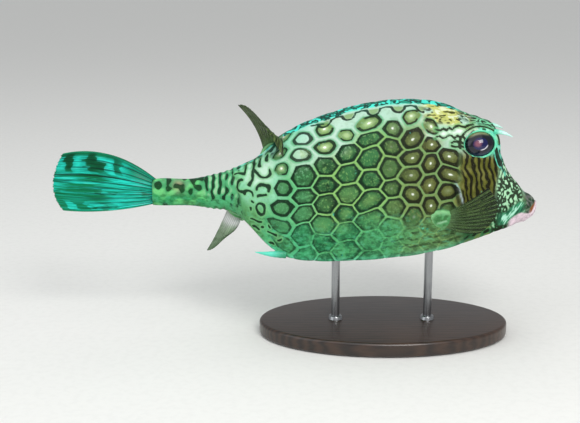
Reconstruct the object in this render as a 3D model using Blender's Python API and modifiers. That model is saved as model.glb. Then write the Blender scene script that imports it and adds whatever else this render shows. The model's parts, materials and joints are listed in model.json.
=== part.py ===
"""Honeycomb cowfish, life size, held over a flat base by two short rods.

The fish faces +X with its back up (+Z) and its right side towards -Y. The origin is at the centre of the
base's underside. Lengths below are in millimetres times MM, so everything in the scene is in metres.
"""

import functools
import math
import random

import bmesh
import bpy
import numpy as np
from mathutils import Matrix, Vector

MM = 0.001

# Gaps between neighbouring solids, the wider one for what grows from the curved shell, and how far the shell
# plates stand up.
GAP = 0.3 * MM
ROOT_GAP = 0.5 * MM
PLATE_GROOVE = 0.7 * MM
PLATE_RISE = 0.55 * MM
PLATE_DOME = 0.35 * MM
PLATE_PITCH = 13.0 * MM
PLATE_JITTER_X = 0.5 * MM
PLATE_JITTER_ROWS = 0.07
JITTER_SEED = 11
FIRST_PLATE_X = -90.0 * MM
FIRST_RAISED_X = -80.0 * MM

# The shell runs from its rear opening round the tail stem to the cut behind the cheeks.
SHELL_REAR_X = -92.0 * MM
HEAD_CUT_X = 38.5 * MM

# Half rows of plates: up one flank from the keel to the crest, and under the belly between the keels.
FLANK_ROWS = 17
BELLY_ROWS = 10
RING_ROWS = 2 * FLANK_ROWS + BELLY_ROWS

# Cross sections from the end of the tail stem to the mouth. Each has the crest's x and z, the keel's x and z,
# the half width at the keel, the reach of the shoulder curve, the hip's share of the keel width, and how far
# the belly line hangs below the keel.
STATIONS = (
    (-143.0, 98.8, -143.0, 87.5, 4.4, 5.0, 1.0, 4.6),
    (-136.0, 99.6, -136.0, 87.4, 5.0, 5.8, 1.0, 4.8),
    (-120.0, 99.2, -120.0, 87.6, 5.6, 6.4, 1.0, 5.0),
    (-106.0, 101.8, -106.0, 86.8, 7.4, 8.4, 1.0, 6.0),
    (-98.0, 104.0, -98.0, 86.6, 8.8, 9.8, 1.0, 6.6),
    (-92.0, 106.4, -92.0, 84.6, 11.0, 11.6, 1.0, 6.2),
    (-85.5, 109.4, -85.5, 77.2, 15.6, 13.6, 0.98, 4.0),
    (-79.0, 112.6, -79.0, 70.4, 20.2, 15.4, 0.95, 2.4),
    (-72.0, 119.4, -72.0, 64.4, 25.0, 17.0, 0.92, 1.8),
    (-66.0, 124.8, -66.0, 60.6, 28.6, 18.4, 0.90, 1.8),
    (-58.0, 129.9, -58.0, 57.8, 31.2, 20.0, 0.88, 2.0),
    (-48.0, 134.8, -48.0, 56.9, 32.8, 21.4, 0.87, 2.2),
    (-33.0, 140.3, -33.0, 56.8, 34.0, 23.0, 0.86, 2.4),
    (-18.0, 144.7, -18.0, 57.5, 34.4, 24.0, 0.86, 2.4),
    (0.0, 147.6, 0.0, 58.8, 34.0, 24.6, 0.86, 2.2),
    (15.0, 148.2, 15.0, 60.4, 33.0, 25.0, 0.86, 2.0),
    (28.0, 147.1, 28.0, 62.2, 30.8, 25.4, 0.87, 1.8),
    (38.0, 144.4, 38.0, 64.1, 28.2, 25.6, 0.88, 1.8),
    (47.0, 140.4, 47.0, 66.1, 25.2, 25.2, 0.90, 1.8),
    (56.0, 137.4, 56.0, 68.2, 21.8, 24.2, 0.92, 2.0),
    (63.0, 134.4, 63.4, 70.2, 18.6, 22.0, 0.94, 2.2),
    (66.8, 128.6, 68.0, 71.2, 16.2, 18.6, 0.95, 2.4),
    (68.0, 120.6, 71.4, 72.0, 14.2, 15.4, 0.96, 2.6),
    (70.6, 113.0, 74.4, 72.8, 12.4, 13.2, 0.97, 2.8),
    (74.6, 104.4, 77.8, 73.8, 10.8, 11.6, 0.98, 3.2),
    (79.6, 97.4, 81.4, 75.0, 9.4, 10.2, 1.0, 3.6),
    (84.6, 91.8, 85.0, 76.6, 8.2, 9.2, 1.0, 4.2),
)
MOUTH_STATION = len(STATIONS) - 1
LAST_UPRIGHT_STATION = MOUTH_STATION - 6

# The stem's skin lies in folds where it enters the shell.
STEM_RINGS = 17
FOLD_START_X = -112.0 * MM
FOLD_FULL_X = -98.0 * MM
FOLD_PITCH = 4.8 * MM
FOLD_DEPTH = 0.5 * MM

# Eyes, brows and horns. The right side is -Y, and the left side is its mirror image.
EYE_CENTRE = Vector((54.0, 12.2, 122.9)) * MM
EYE_RADII = Vector((10.5, 7.1, 8.6)) * MM
EYE_TILT = math.radians(14)
EYE_ROLL = math.radians(-8)
ORBIT_DEPTH = 9.0 * MM
ORBIT_FLARE = 1.2
RIM_RADII = (9.6 * MM, 7.9 * MM)
RIM_THICKNESS = 0.95 * MM
RIM_OUT = 3.8 * MM
BROW_START = Vector((44.0, 12.6, 131.6)) * MM
BROW_END = Vector((65.0, 12.8, 130.2)) * MM
BROW_RADIUS = 2.3 * MM
HORN_TIP = Vector((73.6, 15.0, 128.0)) * MM
HORN_RADIUS = 1.9 * MM
NOSTRIL = Vector((69.2, 8.6, 112.5)) * MM
NOSTRIL_RADIUS = 0.9 * MM

# The gill slit lies between the cheek and the pectoral fin, behind a narrow flap of skin.
GILL_TOP = Vector((40.6, 23.6, 102.0)) * MM
GILL_FOOT = Vector((44.0, 26.0, 88.0)) * MM
GILL_FLAP_RADII = Vector((2.0, 1.3, 8.4)) * MM
GILL_FLAP_AHEAD = Vector((2.4, 0, 0)) * MM
GILL_SLIT_RADII = Vector((0.8, 1.6, 6.4)) * MM
GILL_SLIT_AHEAD = Vector((0.3, 0, 0)) * MM

# A spine ends each keel at the rear.
REAR_SPINE_ROOT = Vector((-61.0, 28.6, 59.4)) * MM
REAR_SPINE_TIP = Vector((-79.6, 29.4, 61.0)) * MM
REAR_SPINE_RADIUS = 2.5 * MM

# Lips: outlines of the muzzle from the head's front face round to its tip, which faces a little down. Each has
# the middle's x and z, the half width and height, and its tilt in degrees.
MUZZLE_RINGS = (
    (85.3, 81.8, 8.2, 9.4, 0),
    (87.2, 81.1, 8.0, 8.7, 10),
    (88.6, 80.2, 7.6, 7.7, 20),
    (89.9, 79.7, 6.9, 6.6, 26),
    (90.8, 79.3, 5.7, 5.1, 26),
    (91.4, 79.0, 3.8, 3.2, 26),
    (91.8, 78.8, 1.6, 1.3, 26),
)
MUZZLE_SIDES = 28

# The closed mouth is a groove over the muzzle's front that droops from its middle towards both corners.
MOUTH_MIDDLE = Vector((91.0, 0, 79.0)) * MM
MOUTH_TILT = math.radians(26)
MOUTH_HALF_WIDTH = 6.5 * MM
MOUTH_RISE = 1.2 * MM
MOUTH_DROOP = 4.6 * MM
MOUTH_DEPTH = 2.4 * MM
MOUTH_SLIT = 0.8 * MM

# Fins: each guide ray has its root, the point that it bends towards, and its tip.
TAIL_FIN = (
    ((-143.3, 0.0, 97.4), (-168.0, -1.0, 122.0), (-197.6, -3.0, 115.2)),
    ((-143.3, 0.0, 91.0), (-172.0, 0.5, 93.4), (-205.8, 2.0, 94.6)),
    ((-143.3, 0.0, 84.4), (-170.0, -0.5, 76.4), (-199.0, -2.0, 79.6)),
)
DORSAL_FIN = (
    ((-65.0, -1.5, 123.0), (-62.0, -13.0, 132.0), (-62.5, -21.0, 116.0)),
    ((-70.0, -0.5, 119.5), (-72.0, -8.0, 133.0), (-79.0, -10.0, 140.5)),
    ((-75.0, 0.0, 115.0), (-76.0, 1.0, 130.0), (-90.5, 2.0, 145.0)),
)
ANAL_FIN = (
    ((-87.0, 0.0, 77.0), (-91.0, -9.0, 67.0), (-98.0, -12.0, 66.5)),
    ((-92.0, 0.0, 79.5), (-97.5, -4.0, 67.0), (-105.0, -7.0, 57.5)),
    ((-97.0, 0.0, 82.5), (-100.5, 2.0, 70.0), (-111.0, 3.0, 52.4)),
)
PECTORAL_FIN = (
    ((36.0, 27.0, 86.6), (45.0, 37.0, 93.0), (55.6, 42.0, 103.5)),
    ((34.0, 27.5, 81.0), (47.0, 39.0, 84.5), (61.5, 45.0, 90.0)),
    ((32.0, 28.0, 75.4), (43.0, 37.0, 73.0), (52.4, 41.0, 75.4)),
)
PECTORAL_LOBE_CENTRE = Vector((31.5, 27.0, 80.8)) * MM
PECTORAL_LOBE_RADII = Vector((8.4, 3.9, 6.3)) * MM
DORSAL_LOBE_CENTRE = Vector((-70.4, -0.4, 119.6)) * MM
DORSAL_LOBE_RADII = Vector((8.6, 4.4, 4.6)) * MM
ANAL_LOBE_CENTRE = Vector((-91.5, 0.0, 77.4)) * MM
ANAL_LOBE_RADII = Vector((8.0, 3.8, 4.2)) * MM

# Plates stay flat within these distances of the roots of fins and spines, and in a patch over each rod.
DORSAL_REACH = 15.0 * MM
ANAL_REACH = 14.0 * MM
PECTORAL_REACH = 13.0 * MM
SPINE_REACH = 15.0 * MM
ROD_PATCH_TOP = 66.0 * MM
ROD_PATCH_HALF_LENGTH = 11.0 * MM
ROD_PATCH_HALF_WIDTH = 10.0 * MM

# Fins' thickness at a ray's root, its share left at the tip, the membrane's share of a ray, and how far the
# membrane falls short of the rays at the rim.
TAIL_FIN_THICKNESS = 1.3 * MM
FIN_THICKNESS = 1.1 * MM
FIN_TIP_SHARE = 0.65
MEMBRANE_SHARE = 0.5
FIN_NOTCH = 0.012

# Each fin's count of rays, and the steps along a ray.
TAIL_RAYS, TAIL_STEPS = 11, 9
BACK_RAYS = 10
VENT_RAYS = 10
PECTORAL_RAYS = 11
FIN_STEPS = 8

# The stand.
BASE_LENGTH, BASE_WIDTH, BASE_HEIGHT = 156.0 * MM, 92.0 * MM, 9.0 * MM
BASE_EDGE = 2.0 * MM
ROD_RADIUS = 2.6 * MM
ROD_TOP = 80.0 * MM
SPIKE_TIP_RADIUS = 0.3 * MM
ROD_XS = (-30.0 * MM, 28.0 * MM)


def clear_scene():
    for old in list(bpy.data.objects):
        bpy.data.objects.remove(old, do_unlink=True)


def collection_named(name):
    made = bpy.data.collections.new(name)
    bpy.context.scene.collection.children.link(made)
    return made


def material_named(name, colour, roughness, metallic=0.0):
    made = bpy.data.materials.new(name)
    made.use_nodes = True
    shader = made.node_tree.nodes["Principled BSDF"]
    shader.inputs["Base Color"].default_value = (*colour, 1.0)
    shader.inputs["Roughness"].default_value = roughness
    shader.inputs["Metallic"].default_value = metallic
    return made


def object_from(bm, name, collection, material=None):
    """A new object that takes over the bmesh."""
    mesh = bpy.data.meshes.new(name)
    bm.to_mesh(mesh)
    bm.free()
    made = bpy.data.objects.new(name, mesh)
    collection.objects.link(made)
    if material:
        mesh.materials.append(material)
    return made


def mirrored(point):
    """The same place on the other side of the fish."""
    return Vector((point.x, -point.y, point.z))


def apply_modifiers(obj):
    bpy.context.view_layer.update()
    graph = bpy.context.evaluated_depsgraph_get()
    old = obj.data
    obj.data = bpy.data.meshes.new_from_object(obj.evaluated_get(graph))
    obj.modifiers.clear()
    bpy.data.meshes.remove(old)


def keep_largest(obj):
    """Keeps the biggest closed surface and drops any scrap that a Boolean leaves."""
    bm = bmesh.new()
    bm.from_mesh(obj.data)
    unseen = set(bm.verts)
    islands = []
    while unseen:
        island, edge_of_island = set(), [unseen.pop()]
        while edge_of_island:
            vertex = edge_of_island.pop()
            island.add(vertex)
            for edge in vertex.link_edges:
                other = edge.other_vert(vertex)
                if other in unseen:
                    unseen.remove(other)
                    edge_of_island.append(other)
        islands.append(island)
    islands.sort(key=len)
    for island in islands[:-1]:
        bmesh.ops.delete(bm, geom=list(island), context="VERTS")
    bm.to_mesh(obj.data)
    bm.free()


def boolean(obj, others, operation, solver="EXACT"):
    """Joins or cuts an object with several closed mesh objects at once, which are then removed."""
    helpers = bpy.data.collections.new("helpers")
    bpy.context.scene.collection.children.link(helpers)
    for other in others:
        for home in list(other.users_collection):
            home.objects.unlink(other)
        helpers.objects.link(other)
    step = obj.modifiers.new(operation.title(), "BOOLEAN")
    step.operation = operation
    step.operand_type = "COLLECTION"
    step.collection = helpers
    step.solver = solver
    apply_modifiers(obj)
    for other in others:
        bpy.data.objects.remove(other, do_unlink=True)
    bpy.data.collections.remove(helpers)
    keep_largest(obj)


def smooth_shade(obj, angle=35):
    obj.data.shade_smooth()
    obj.data.set_sharp_from_angle(angle=math.radians(angle))


# The body's surface

def station_values(station):
    """The section's eight numbers at a station that may lie between two rows of the table."""
    table = np.array(STATIONS)
    station = min(max(station, 0.0), MOUTH_STATION)
    low = min(int(station), MOUTH_STATION - 1)
    t = station - low
    p0, p1 = table[max(low - 1, 0)], table[low]
    p2, p3 = table[low + 1], table[min(low + 2, MOUTH_STATION)]
    return 0.5 * (
        2 * p1 + (p2 - p0) * t + (2 * p0 - 5 * p1 + 4 * p2 - p3) * t**2 + (3 * p1 - p0 - 3 * p2 + p3) * t**3
    )


def station_at(x):
    """The station whose upright section lies at x, for the stem and the shell."""
    steps = np.linspace(0, LAST_UPRIGHT_STATION, 600)
    return float(np.interp(x / MM, [station_values(s)[0] for s in steps], steps))


def bezier(points, t):
    """A curve through its first and last points, bent towards those between."""
    points = [np.array(p, float) for p in points]
    while len(points) > 1:
        points = [a + (b - a) * t for a, b in zip(points, points[1:])]
    return points[0]


def measured_curve(points):
    """A curve as 32 points with their distances along it."""
    line = bezier(points, np.linspace(0, 1, 32)[:, None])
    lengths = np.r_[0, np.cumsum(np.linalg.norm(np.diff(line, axis=0), axis=1))]
    return line, lengths / lengths[-1]


@functools.lru_cache(maxsize=None)
def section(station):
    """A section's values, with the curves of one flank and one side of the belly."""
    values = station_values(station)
    _, crest_z, _, keel_z, width, shoulder, hip, sag = values
    height = crest_z - keel_z
    flank = ((width, keel_z), (width * hip, keel_z + 0.33 * height), (shoulder, crest_z), (0, crest_z))
    belly = ((width, keel_z), (width * 0.72, keel_z - sag), (0, keel_z - sag))
    return values, measured_curve(flank), measured_curve(belly)


def surface_point(station, row):
    """A point of the smooth body. Row 0 is the left keel, FLANK_ROWS the crest, 2 * FLANK_ROWS the right keel."""
    values, flank, belly = section(station)
    crest_x, crest_z, keel_x, keel_z = values[:4]
    row = row % RING_ROWS
    on_flank = row <= 2 * FLANK_ROWS
    if on_flank:
        share = row / FLANK_ROWS
    else:
        share = 2 * (row - 2 * FLANK_ROWS) / BELLY_ROWS
    side = 1 if (share <= 1) == on_flank else -1
    line, lengths = flank if on_flank else belly
    along = min(share, 2 - share)
    y, z = (np.interp(along, lengths, line[:, i]) for i in range(2))
    x = crest_x + (keel_x - crest_x) * (crest_z - z) / (crest_z - keel_z)
    return Vector((x, side * y, z)) * MM


def body_point(station, row, lift=0.0):
    """A point of the body, moved out along the surface's normal by lift."""
    here = surface_point(station, row)
    if not lift:
        return here
    step = 0.05
    along = surface_point(min(station + step, MOUTH_STATION), row) - surface_point(max(station - step, 0), row)
    around = surface_point(station, row + step) - surface_point(station, row - step)
    return here + lift * around.cross(along).normalized()


def ring_loft(bm, rings, close_ends=True):
    """Skins a list of closed rings of vertices, and closes the first and the last."""
    for first, second in zip(rings, rings[1:]):
        for i in range(len(first)):
            after = (i + 1) % len(first)
            bm.faces.new((first[i], first[after], second[after], second[i]))
    if close_ends:
        bm.faces.new(reversed(rings[0]))
        bm.faces.new(rings[-1])
    bmesh.ops.recalc_face_normals(bm, faces=bm.faces)


def body_loft(name, stations, rows, collection, lift=0.0, material=None):
    """A closed length of the body through upright or slanted sections."""
    bm = bmesh.new()
    rings = [[bm.verts.new(body_point(s, row, lift)) for row in rows] for s in stations]
    ring_loft(bm, rings)
    return object_from(bm, name, collection, material)


# Pieces used more than once

def ellipsoid(name, centre, radii, collection, turn=None, segments=20, rings=12):
    bm = bmesh.new()
    bmesh.ops.create_uvsphere(bm, u_segments=segments, v_segments=rings, radius=1)
    shape = Matrix.Diagonal((*radii, 1))
    place = Matrix.Translation(centre) @ (turn or Matrix.Identity(4)) @ shape
    bmesh.ops.transform(bm, matrix=place, verts=bm.verts)
    return object_from(bm, name, collection)


def cone_between(name, start, end, start_radius, end_radius, collection, segments=12):
    bm = bmesh.new()
    axis = end - start
    bmesh.ops.create_cone(
        bm, cap_ends=True, segments=segments, radius1=start_radius, radius2=end_radius, depth=axis.length
    )
    place = Matrix.Translation((start + end) / 2) @ axis.to_track_quat("Z", "Y").to_matrix().to_4x4()
    bmesh.ops.transform(bm, matrix=place, verts=bm.verts)
    return object_from(bm, name, collection)


def ring_around(name, centre, radii, thickness, turn, collection, segments=28, sides=8):
    """An oval ring of round section, made by bending a row of circles."""
    bm = bmesh.new()
    rings = []
    for i in range(segments):
        angle = 2 * math.pi * i / segments
        middle = Vector((radii[0] * math.cos(angle), 0, radii[1] * math.sin(angle)))
        outwards = Vector((math.cos(angle), 0, math.sin(angle)))
        ring = []
        for j in range(sides):
            around = 2 * math.pi * j / sides
            offset = outwards * math.cos(around) + Vector((0, 1, 0)) * math.sin(around)
            ring.append(bm.verts.new(centre + turn @ (middle + thickness * offset)))
        rings.append(ring)
    ring_loft(bm, rings + rings[:1], close_ends=False)
    return object_from(bm, name, collection)


def clearance_body(collection):
    """The whole body swollen by the gap, which trims whatever grows from it."""
    stations = [i * 0.5 for i in range(2 * MOUTH_STATION + 1)]
    return body_loft("clearance", stations, range(RING_ROWS), collection, lift=ROOT_GAP)


# The shell and the head

def near_a_root(point):
    """True at the roots of fins and rear spines and over the rods, where plates stay flat."""
    roots = (
        (DORSAL_LOBE_CENTRE, DORSAL_REACH),
        (ANAL_LOBE_CENTRE, ANAL_REACH),
        (PECTORAL_LOBE_CENTRE, PECTORAL_REACH),
        (mirrored(PECTORAL_LOBE_CENTRE), PECTORAL_REACH),
        (REAR_SPINE_ROOT, SPINE_REACH),
        (mirrored(REAR_SPINE_ROOT), SPINE_REACH),
    )
    if any((point - centre).length < reach for centre, reach in roots):
        return True
    under = point.z < ROD_PATCH_TOP and abs(point.y) < ROD_PATCH_HALF_WIDTH
    return under and any(abs(point.x - x) < ROD_PATCH_HALF_LENGTH for x in ROD_XS)


def trunk(collection, material):
    """The shell: rows of six-sided plates in offset columns, each raised and domed above its grooves."""
    columns = int((HEAD_CUT_X - FIRST_PLATE_X) / PLATE_PITCH) + 2
    keels = (0, 2 * FLANK_ROWS)
    uneven = random.Random(JITTER_SEED)
    bm = bmesh.new()
    loops = []
    for column in range(columns + 1):
        middle = FIRST_PLATE_X + (column - 0.5) * PLATE_PITCH
        loop = []
        for row in range(RING_ROWS):
            towards_head = (column + row) % 2 == 1
            x = middle + PLATE_PITCH / 6 * (1 if towards_head else -1)
            x += uneven.uniform(-PLATE_JITTER_X, PLATE_JITTER_X)
            x = min(max(x, SHELL_REAR_X), HEAD_CUT_X)
            aside = 0 if row in keels else uneven.uniform(-PLATE_JITTER_ROWS, PLATE_JITTER_ROWS)
            loop.append(bm.verts.new(body_point(station_at(x), row + aside)))
        loops.append(loop)
    plates = []
    for column in range(columns):
        first, second = loops[column], loops[column + 1]
        for row in range(column % 2, RING_ROWS, 2):
            before, after = row - 1, (row + 1) % RING_ROWS
            corners = (first[before], first[row], first[after], second[after], second[row], second[before])
            face = bm.faces.new(corners)
            x = FIRST_PLATE_X + column * PLATE_PITCH
            middle = station_at(min(max(x, SHELL_REAR_X), HEAD_CUT_X))
            raised = x > FIRST_RAISED_X and not near_a_root(face.calc_center_median())
            plates.append((face, middle, row, raised))
    bm.faces.new(reversed(loops[0]))
    bm.faces.new(loops[-1])
    bmesh.ops.recalc_face_normals(bm, faces=bm.faces)
    raised_faces = [face for face, _, _, raised in plates if raised]
    bmesh.ops.inset_individual(bm, faces=raised_faces, thickness=PLATE_GROOVE, depth=PLATE_RISE)
    for face, middle, row, raised in plates:
        x_inside = SHELL_REAR_X < face.calc_center_median().x < HEAD_CUT_X - PLATE_PITCH / 2
        apex = bmesh.ops.poke(bm, faces=[face])["verts"][0]
        if x_inside:
            apex.co = body_point(middle, row, PLATE_RISE + PLATE_DOME if raised else 0)
    bmesh.ops.triangulate(bm, faces=bm.faces)
    return object_from(bm, "trunk", collection, material)


def oval_turn(side):
    """Turns an eye and its rim to look out and a little up, with the oval's front end raised."""
    return Matrix.Rotation(side * EYE_TILT, 4, "X") @ Matrix.Rotation(EYE_ROLL, 4, "Y")


def on_side(point, side):
    return point if side > 0 else mirrored(point)


def eye_ball(name, side, swell, collection):
    radii = EYE_RADII + Vector((swell, swell, swell))
    turn = oval_turn(side)
    return ellipsoid(name, on_side(EYE_CENTRE, side), radii, collection, turn, segments=24, rings=14)


def orbit(side, collection):
    """The bony collar that an eye sits in, and the raised rim round its mouth."""
    turn = oval_turn(side)
    outwards = turn.to_3x3() @ Vector((0, side, 0))
    rim_centre = on_side(EYE_CENTRE, side) + outwards * RIM_OUT
    collar_base = rim_centre - outwards * ORBIT_DEPTH
    bm = bmesh.new()
    rings = []
    for centre, flare in ((collar_base, ORBIT_FLARE), (rim_centre, 1.0)):
        ring = []
        for i in range(32):
            angle = 2 * math.pi * i / 32
            across = Vector((RIM_RADII[0] * math.cos(angle), 0, RIM_RADII[1] * math.sin(angle)))
            ring.append(bm.verts.new(centre + turn.to_3x3() @ across * flare))
        rings.append(ring)
    ring_loft(bm, rings)
    collar = object_from(bm, "collar", collection)
    rim = ring_around("rim", rim_centre, RIM_RADII, RIM_THICKNESS, turn.to_3x3(), collection)
    return [collar, rim]


def head(collection, material):
    """The cheeks, brows, snout and throat, with sockets, gill flaps and nostrils."""
    first = station_at(HEAD_CUT_X + GAP)
    rest = np.arange(math.ceil(first * 2) / 2 + 0.5, MOUTH_STATION + 0.1, 0.5)
    rows = range(RING_ROWS)
    made = body_loft("head", [first, *rest], rows, collection, material=material)
    additions, cuts = [], []
    for side in (1, -1):
        additions += orbit(side, collection)
        start, end = on_side(BROW_START, side), on_side(BROW_END, side)
        along = (end - start).to_track_quat("X", "Z").to_matrix().to_4x4()
        brow_radii = Vector(((end - start).length / 2 + BROW_RADIUS, BROW_RADIUS, BROW_RADIUS))
        additions.append(ellipsoid("brow", (start + end) / 2, brow_radii, collection, along, 16, 10))
        top, foot = on_side(GILL_TOP, side), on_side(GILL_FOOT, side)
        slope = (top - foot).to_track_quat("Z", "Y").to_matrix().to_4x4()
        flap_centre = (top + foot) / 2 + GILL_FLAP_AHEAD
        additions.append(ellipsoid("flap", flap_centre, GILL_FLAP_RADII, collection, slope, 12, 10))
        slit_centre = (top + foot) / 2 + GILL_SLIT_AHEAD
        cuts.append(ellipsoid("slit", slit_centre, GILL_SLIT_RADII, collection, slope, 12, 10))
        cuts.append(eye_ball("socket", side, GAP, collection))
        nostril_radii = Vector((NOSTRIL_RADIUS,) * 3)
        cuts.append(ellipsoid("nostril", on_side(NOSTRIL, side), nostril_radii, collection, None, 8, 6))
    boolean(made, additions, "UNION")
    boolean(made, cuts, "DIFFERENCE")
    return made


def mouth_groove(collection):
    """A thin bent sheet that cuts the line of the mouth across the muzzle's front."""
    bm = bmesh.new()
    bmesh.ops.create_grid(bm, x_segments=2, y_segments=14, size=1)
    forwards = Vector((math.cos(MOUTH_TILT), 0, -math.sin(MOUTH_TILT)))
    upwards = Vector((math.sin(MOUTH_TILT), 0, math.cos(MOUTH_TILT)))
    for vertex in bm.verts:
        ahead, across = vertex.co.x, vertex.co.y
        height = MOUTH_RISE - MOUTH_DROOP * across**2
        sideways = Vector((0, across * MOUTH_HALF_WIDTH, 0))
        bend = -MOUTH_DEPTH * across**2
        vertex.co = MOUTH_MIDDLE + forwards * (ahead * MOUTH_DEPTH + bend) + sideways + upwards * height
    groove = object_from(bm, "mouth_groove", collection)
    sheet = groove.modifiers.new("Solidify", "SOLIDIFY")
    sheet.thickness = MOUTH_SLIT
    sheet.offset = 0
    apply_modifiers(groove)
    face_outwards(groove)
    return groove


def lips(collection, material):
    """A short rounded muzzle with the line of the closed mouth cut into its front."""
    bm = bmesh.new()
    rings = []
    for x, z, half_width, half_height, tilt in MUZZLE_RINGS:
        upwards = Vector((math.sin(math.radians(tilt)), 0, math.cos(math.radians(tilt))))
        ring = []
        for i in range(MUZZLE_SIDES):
            angle = 2 * math.pi * i / MUZZLE_SIDES
            sideways = Vector((0, half_width * math.cos(angle), 0))
            offset = sideways + upwards * half_height * math.sin(angle)
            ring.append(bm.verts.new((Vector((x, 0, z)) + offset) * MM))
        rings.append(ring)
    ring_loft(bm, rings)
    made = object_from(bm, "lips", collection, material)
    boolean(made, [mouth_groove(collection)], "DIFFERENCE")
    return made


def tail_stem(collection, material):
    """The slim stem behind the shell, with folds of skin where it enters it."""
    rear = 0
    front = station_at(SHELL_REAR_X - GAP)
    bm = bmesh.new()
    rings = []
    for station in np.linspace(rear, front, STEM_RINGS):
        x = surface_point(station, 0).x
        folded = min(max((x - FOLD_START_X) / (FOLD_FULL_X - FOLD_START_X), 0), 1)
        fold = FOLD_DEPTH * folded * math.cos(2 * math.pi * (x - SHELL_REAR_X) / FOLD_PITCH)
        inset = 0 if station in (rear, front) else fold
        rings.append([bm.verts.new(body_point(station, row, inset)) for row in range(0, RING_ROWS, 2)])
    ring_loft(bm, rings)
    return object_from(bm, "tail_stem", collection, material)


# Fins

def fin_point(guides, u, v):
    """A point of a fin: u runs from the leading guide ray to the trailing one, and v from root to tip."""
    lead, middle, trail = (bezier(guide, v) for guide in guides)
    weights = ((1 - u) * (1 - 2 * u), 4 * u * (1 - u), u * (2 * u - 1))
    return Vector(lead * weights[0] + middle * weights[1] + trail * weights[2]) * MM


def fin(name, guides, rays, steps, thickness, collection, material, side=1):
    """A fan of rays that stand up as ridges on both faces of a thin, curved membrane."""
    columns = 2 * rays - 2
    bm = bmesh.new()
    bmesh.ops.create_grid(bm, x_segments=columns, y_segments=steps, size=0.5)
    weights = {}
    bm.verts.index_update()
    for vertex in bm.verts:
        u, v = vertex.co.x + 0.5, vertex.co.y + 0.5
        column = round(u * columns)
        on_ray = column % 2 == 0
        reach = v * (1 if on_ray else 1 - FIN_NOTCH)
        place = fin_point(guides, u, reach)
        vertex.co = place if side > 0 else mirrored(place)
        weights[vertex.index] = (1 if on_ray else MEMBRANE_SHARE) * (1 - (1 - FIN_TIP_SHARE) * v)
    bmesh.ops.triangulate(bm, faces=bm.faces, quad_method="FIXED")
    made = object_from(bm, name, collection, material)
    group = made.vertex_groups.new(name="thickness")
    for index, weight in weights.items():
        group.add([index], weight, "REPLACE")
    shell = made.modifiers.new("Solidify", "SOLIDIFY")
    shell.thickness = thickness
    shell.offset = 0
    shell.vertex_group = group.name
    apply_modifiers(made)
    return made


def face_outwards(obj):
    bm = bmesh.new()
    bm.from_mesh(obj.data)
    bmesh.ops.recalc_face_normals(bm, faces=bm.faces)
    bm.to_mesh(obj.data)
    bm.free()


def rooted_fin(name, guides, rays, lobe, collection, material, side=1):
    """A fin that grows from a fleshy lobe, trimmed where the lobe meets the body."""
    made = fin(name, guides, rays, FIN_STEPS, FIN_THICKNESS, collection, material, side)
    face_outwards(made)
    centre, radii, turn = lobe
    root = ellipsoid("lobe", on_side(centre, side), radii, collection, turn, 20, 12)
    boolean(made, [root], "UNION")
    boolean(made, [clearance_body(collection)], "DIFFERENCE")
    return made


def fins(collection, material):
    back_slope = Matrix.Rotation(math.radians(-40), 4, "Y")
    vent_slope = Matrix.Rotation(math.radians(38), 4, "Y")
    tail = fin("tail_fin", TAIL_FIN, TAIL_RAYS, TAIL_STEPS, TAIL_FIN_THICKNESS, collection, material)
    face_outwards(tail)
    dorsal_lobe = (DORSAL_LOBE_CENTRE, DORSAL_LOBE_RADII, back_slope)
    anal_lobe = (ANAL_LOBE_CENTRE, ANAL_LOBE_RADII, vent_slope)
    pectoral_lobe = (PECTORAL_LOBE_CENTRE, PECTORAL_LOBE_RADII, None)
    made = [
        tail,
        rooted_fin("dorsal_fin", DORSAL_FIN, BACK_RAYS, dorsal_lobe, collection, material),
        rooted_fin("anal_fin", ANAL_FIN, VENT_RAYS, anal_lobe, collection, material),
    ]
    for side, suffix in ((-1, "right"), (1, "left")):
        name = f"pectoral_fin_{suffix}"
        made.append(rooted_fin(name, PECTORAL_FIN, PECTORAL_RAYS, pectoral_lobe, collection, material, side))
    return made


# Spines, horns and eyes

def rear_spine(name, side, collection, material):
    start, end = on_side(REAR_SPINE_ROOT, side), on_side(REAR_SPINE_TIP, side)
    made = cone_between(name, start, end, REAR_SPINE_RADIUS, SPIKE_TIP_RADIUS, collection)
    made.data.materials.append(material)
    boolean(made, [clearance_body(collection)], "DIFFERENCE")
    return made


def horn(name, side, collection, material):
    """The horn goes on from the end of the brow, with the gap between them."""
    root, tip = on_side(BROW_END, side), on_side(HORN_TIP, side)
    direction = (tip - root).normalized()
    start = root - direction * HORN_RADIUS
    made = cone_between(name, start, tip, HORN_RADIUS, SPIKE_TIP_RADIUS, collection)
    made.data.materials.append(material)
    brow_start = on_side(BROW_START, side)
    along = (root - brow_start).to_track_quat("X", "Z").to_matrix().to_4x4()
    half = (root - brow_start).length / 2 + BROW_RADIUS + GAP
    brow_radii = Vector((half, BROW_RADIUS + GAP, BROW_RADIUS + GAP))
    brow = ellipsoid("brow", (root + brow_start) / 2, brow_radii, collection, along, 16, 10)
    boolean(made, [clearance_body(collection), brow], "DIFFERENCE")
    return made


def eye(name, side, collection, material):
    made = eye_ball(name, side, 0, collection)
    made.data.materials.append(material)
    return made


# The stand

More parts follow.
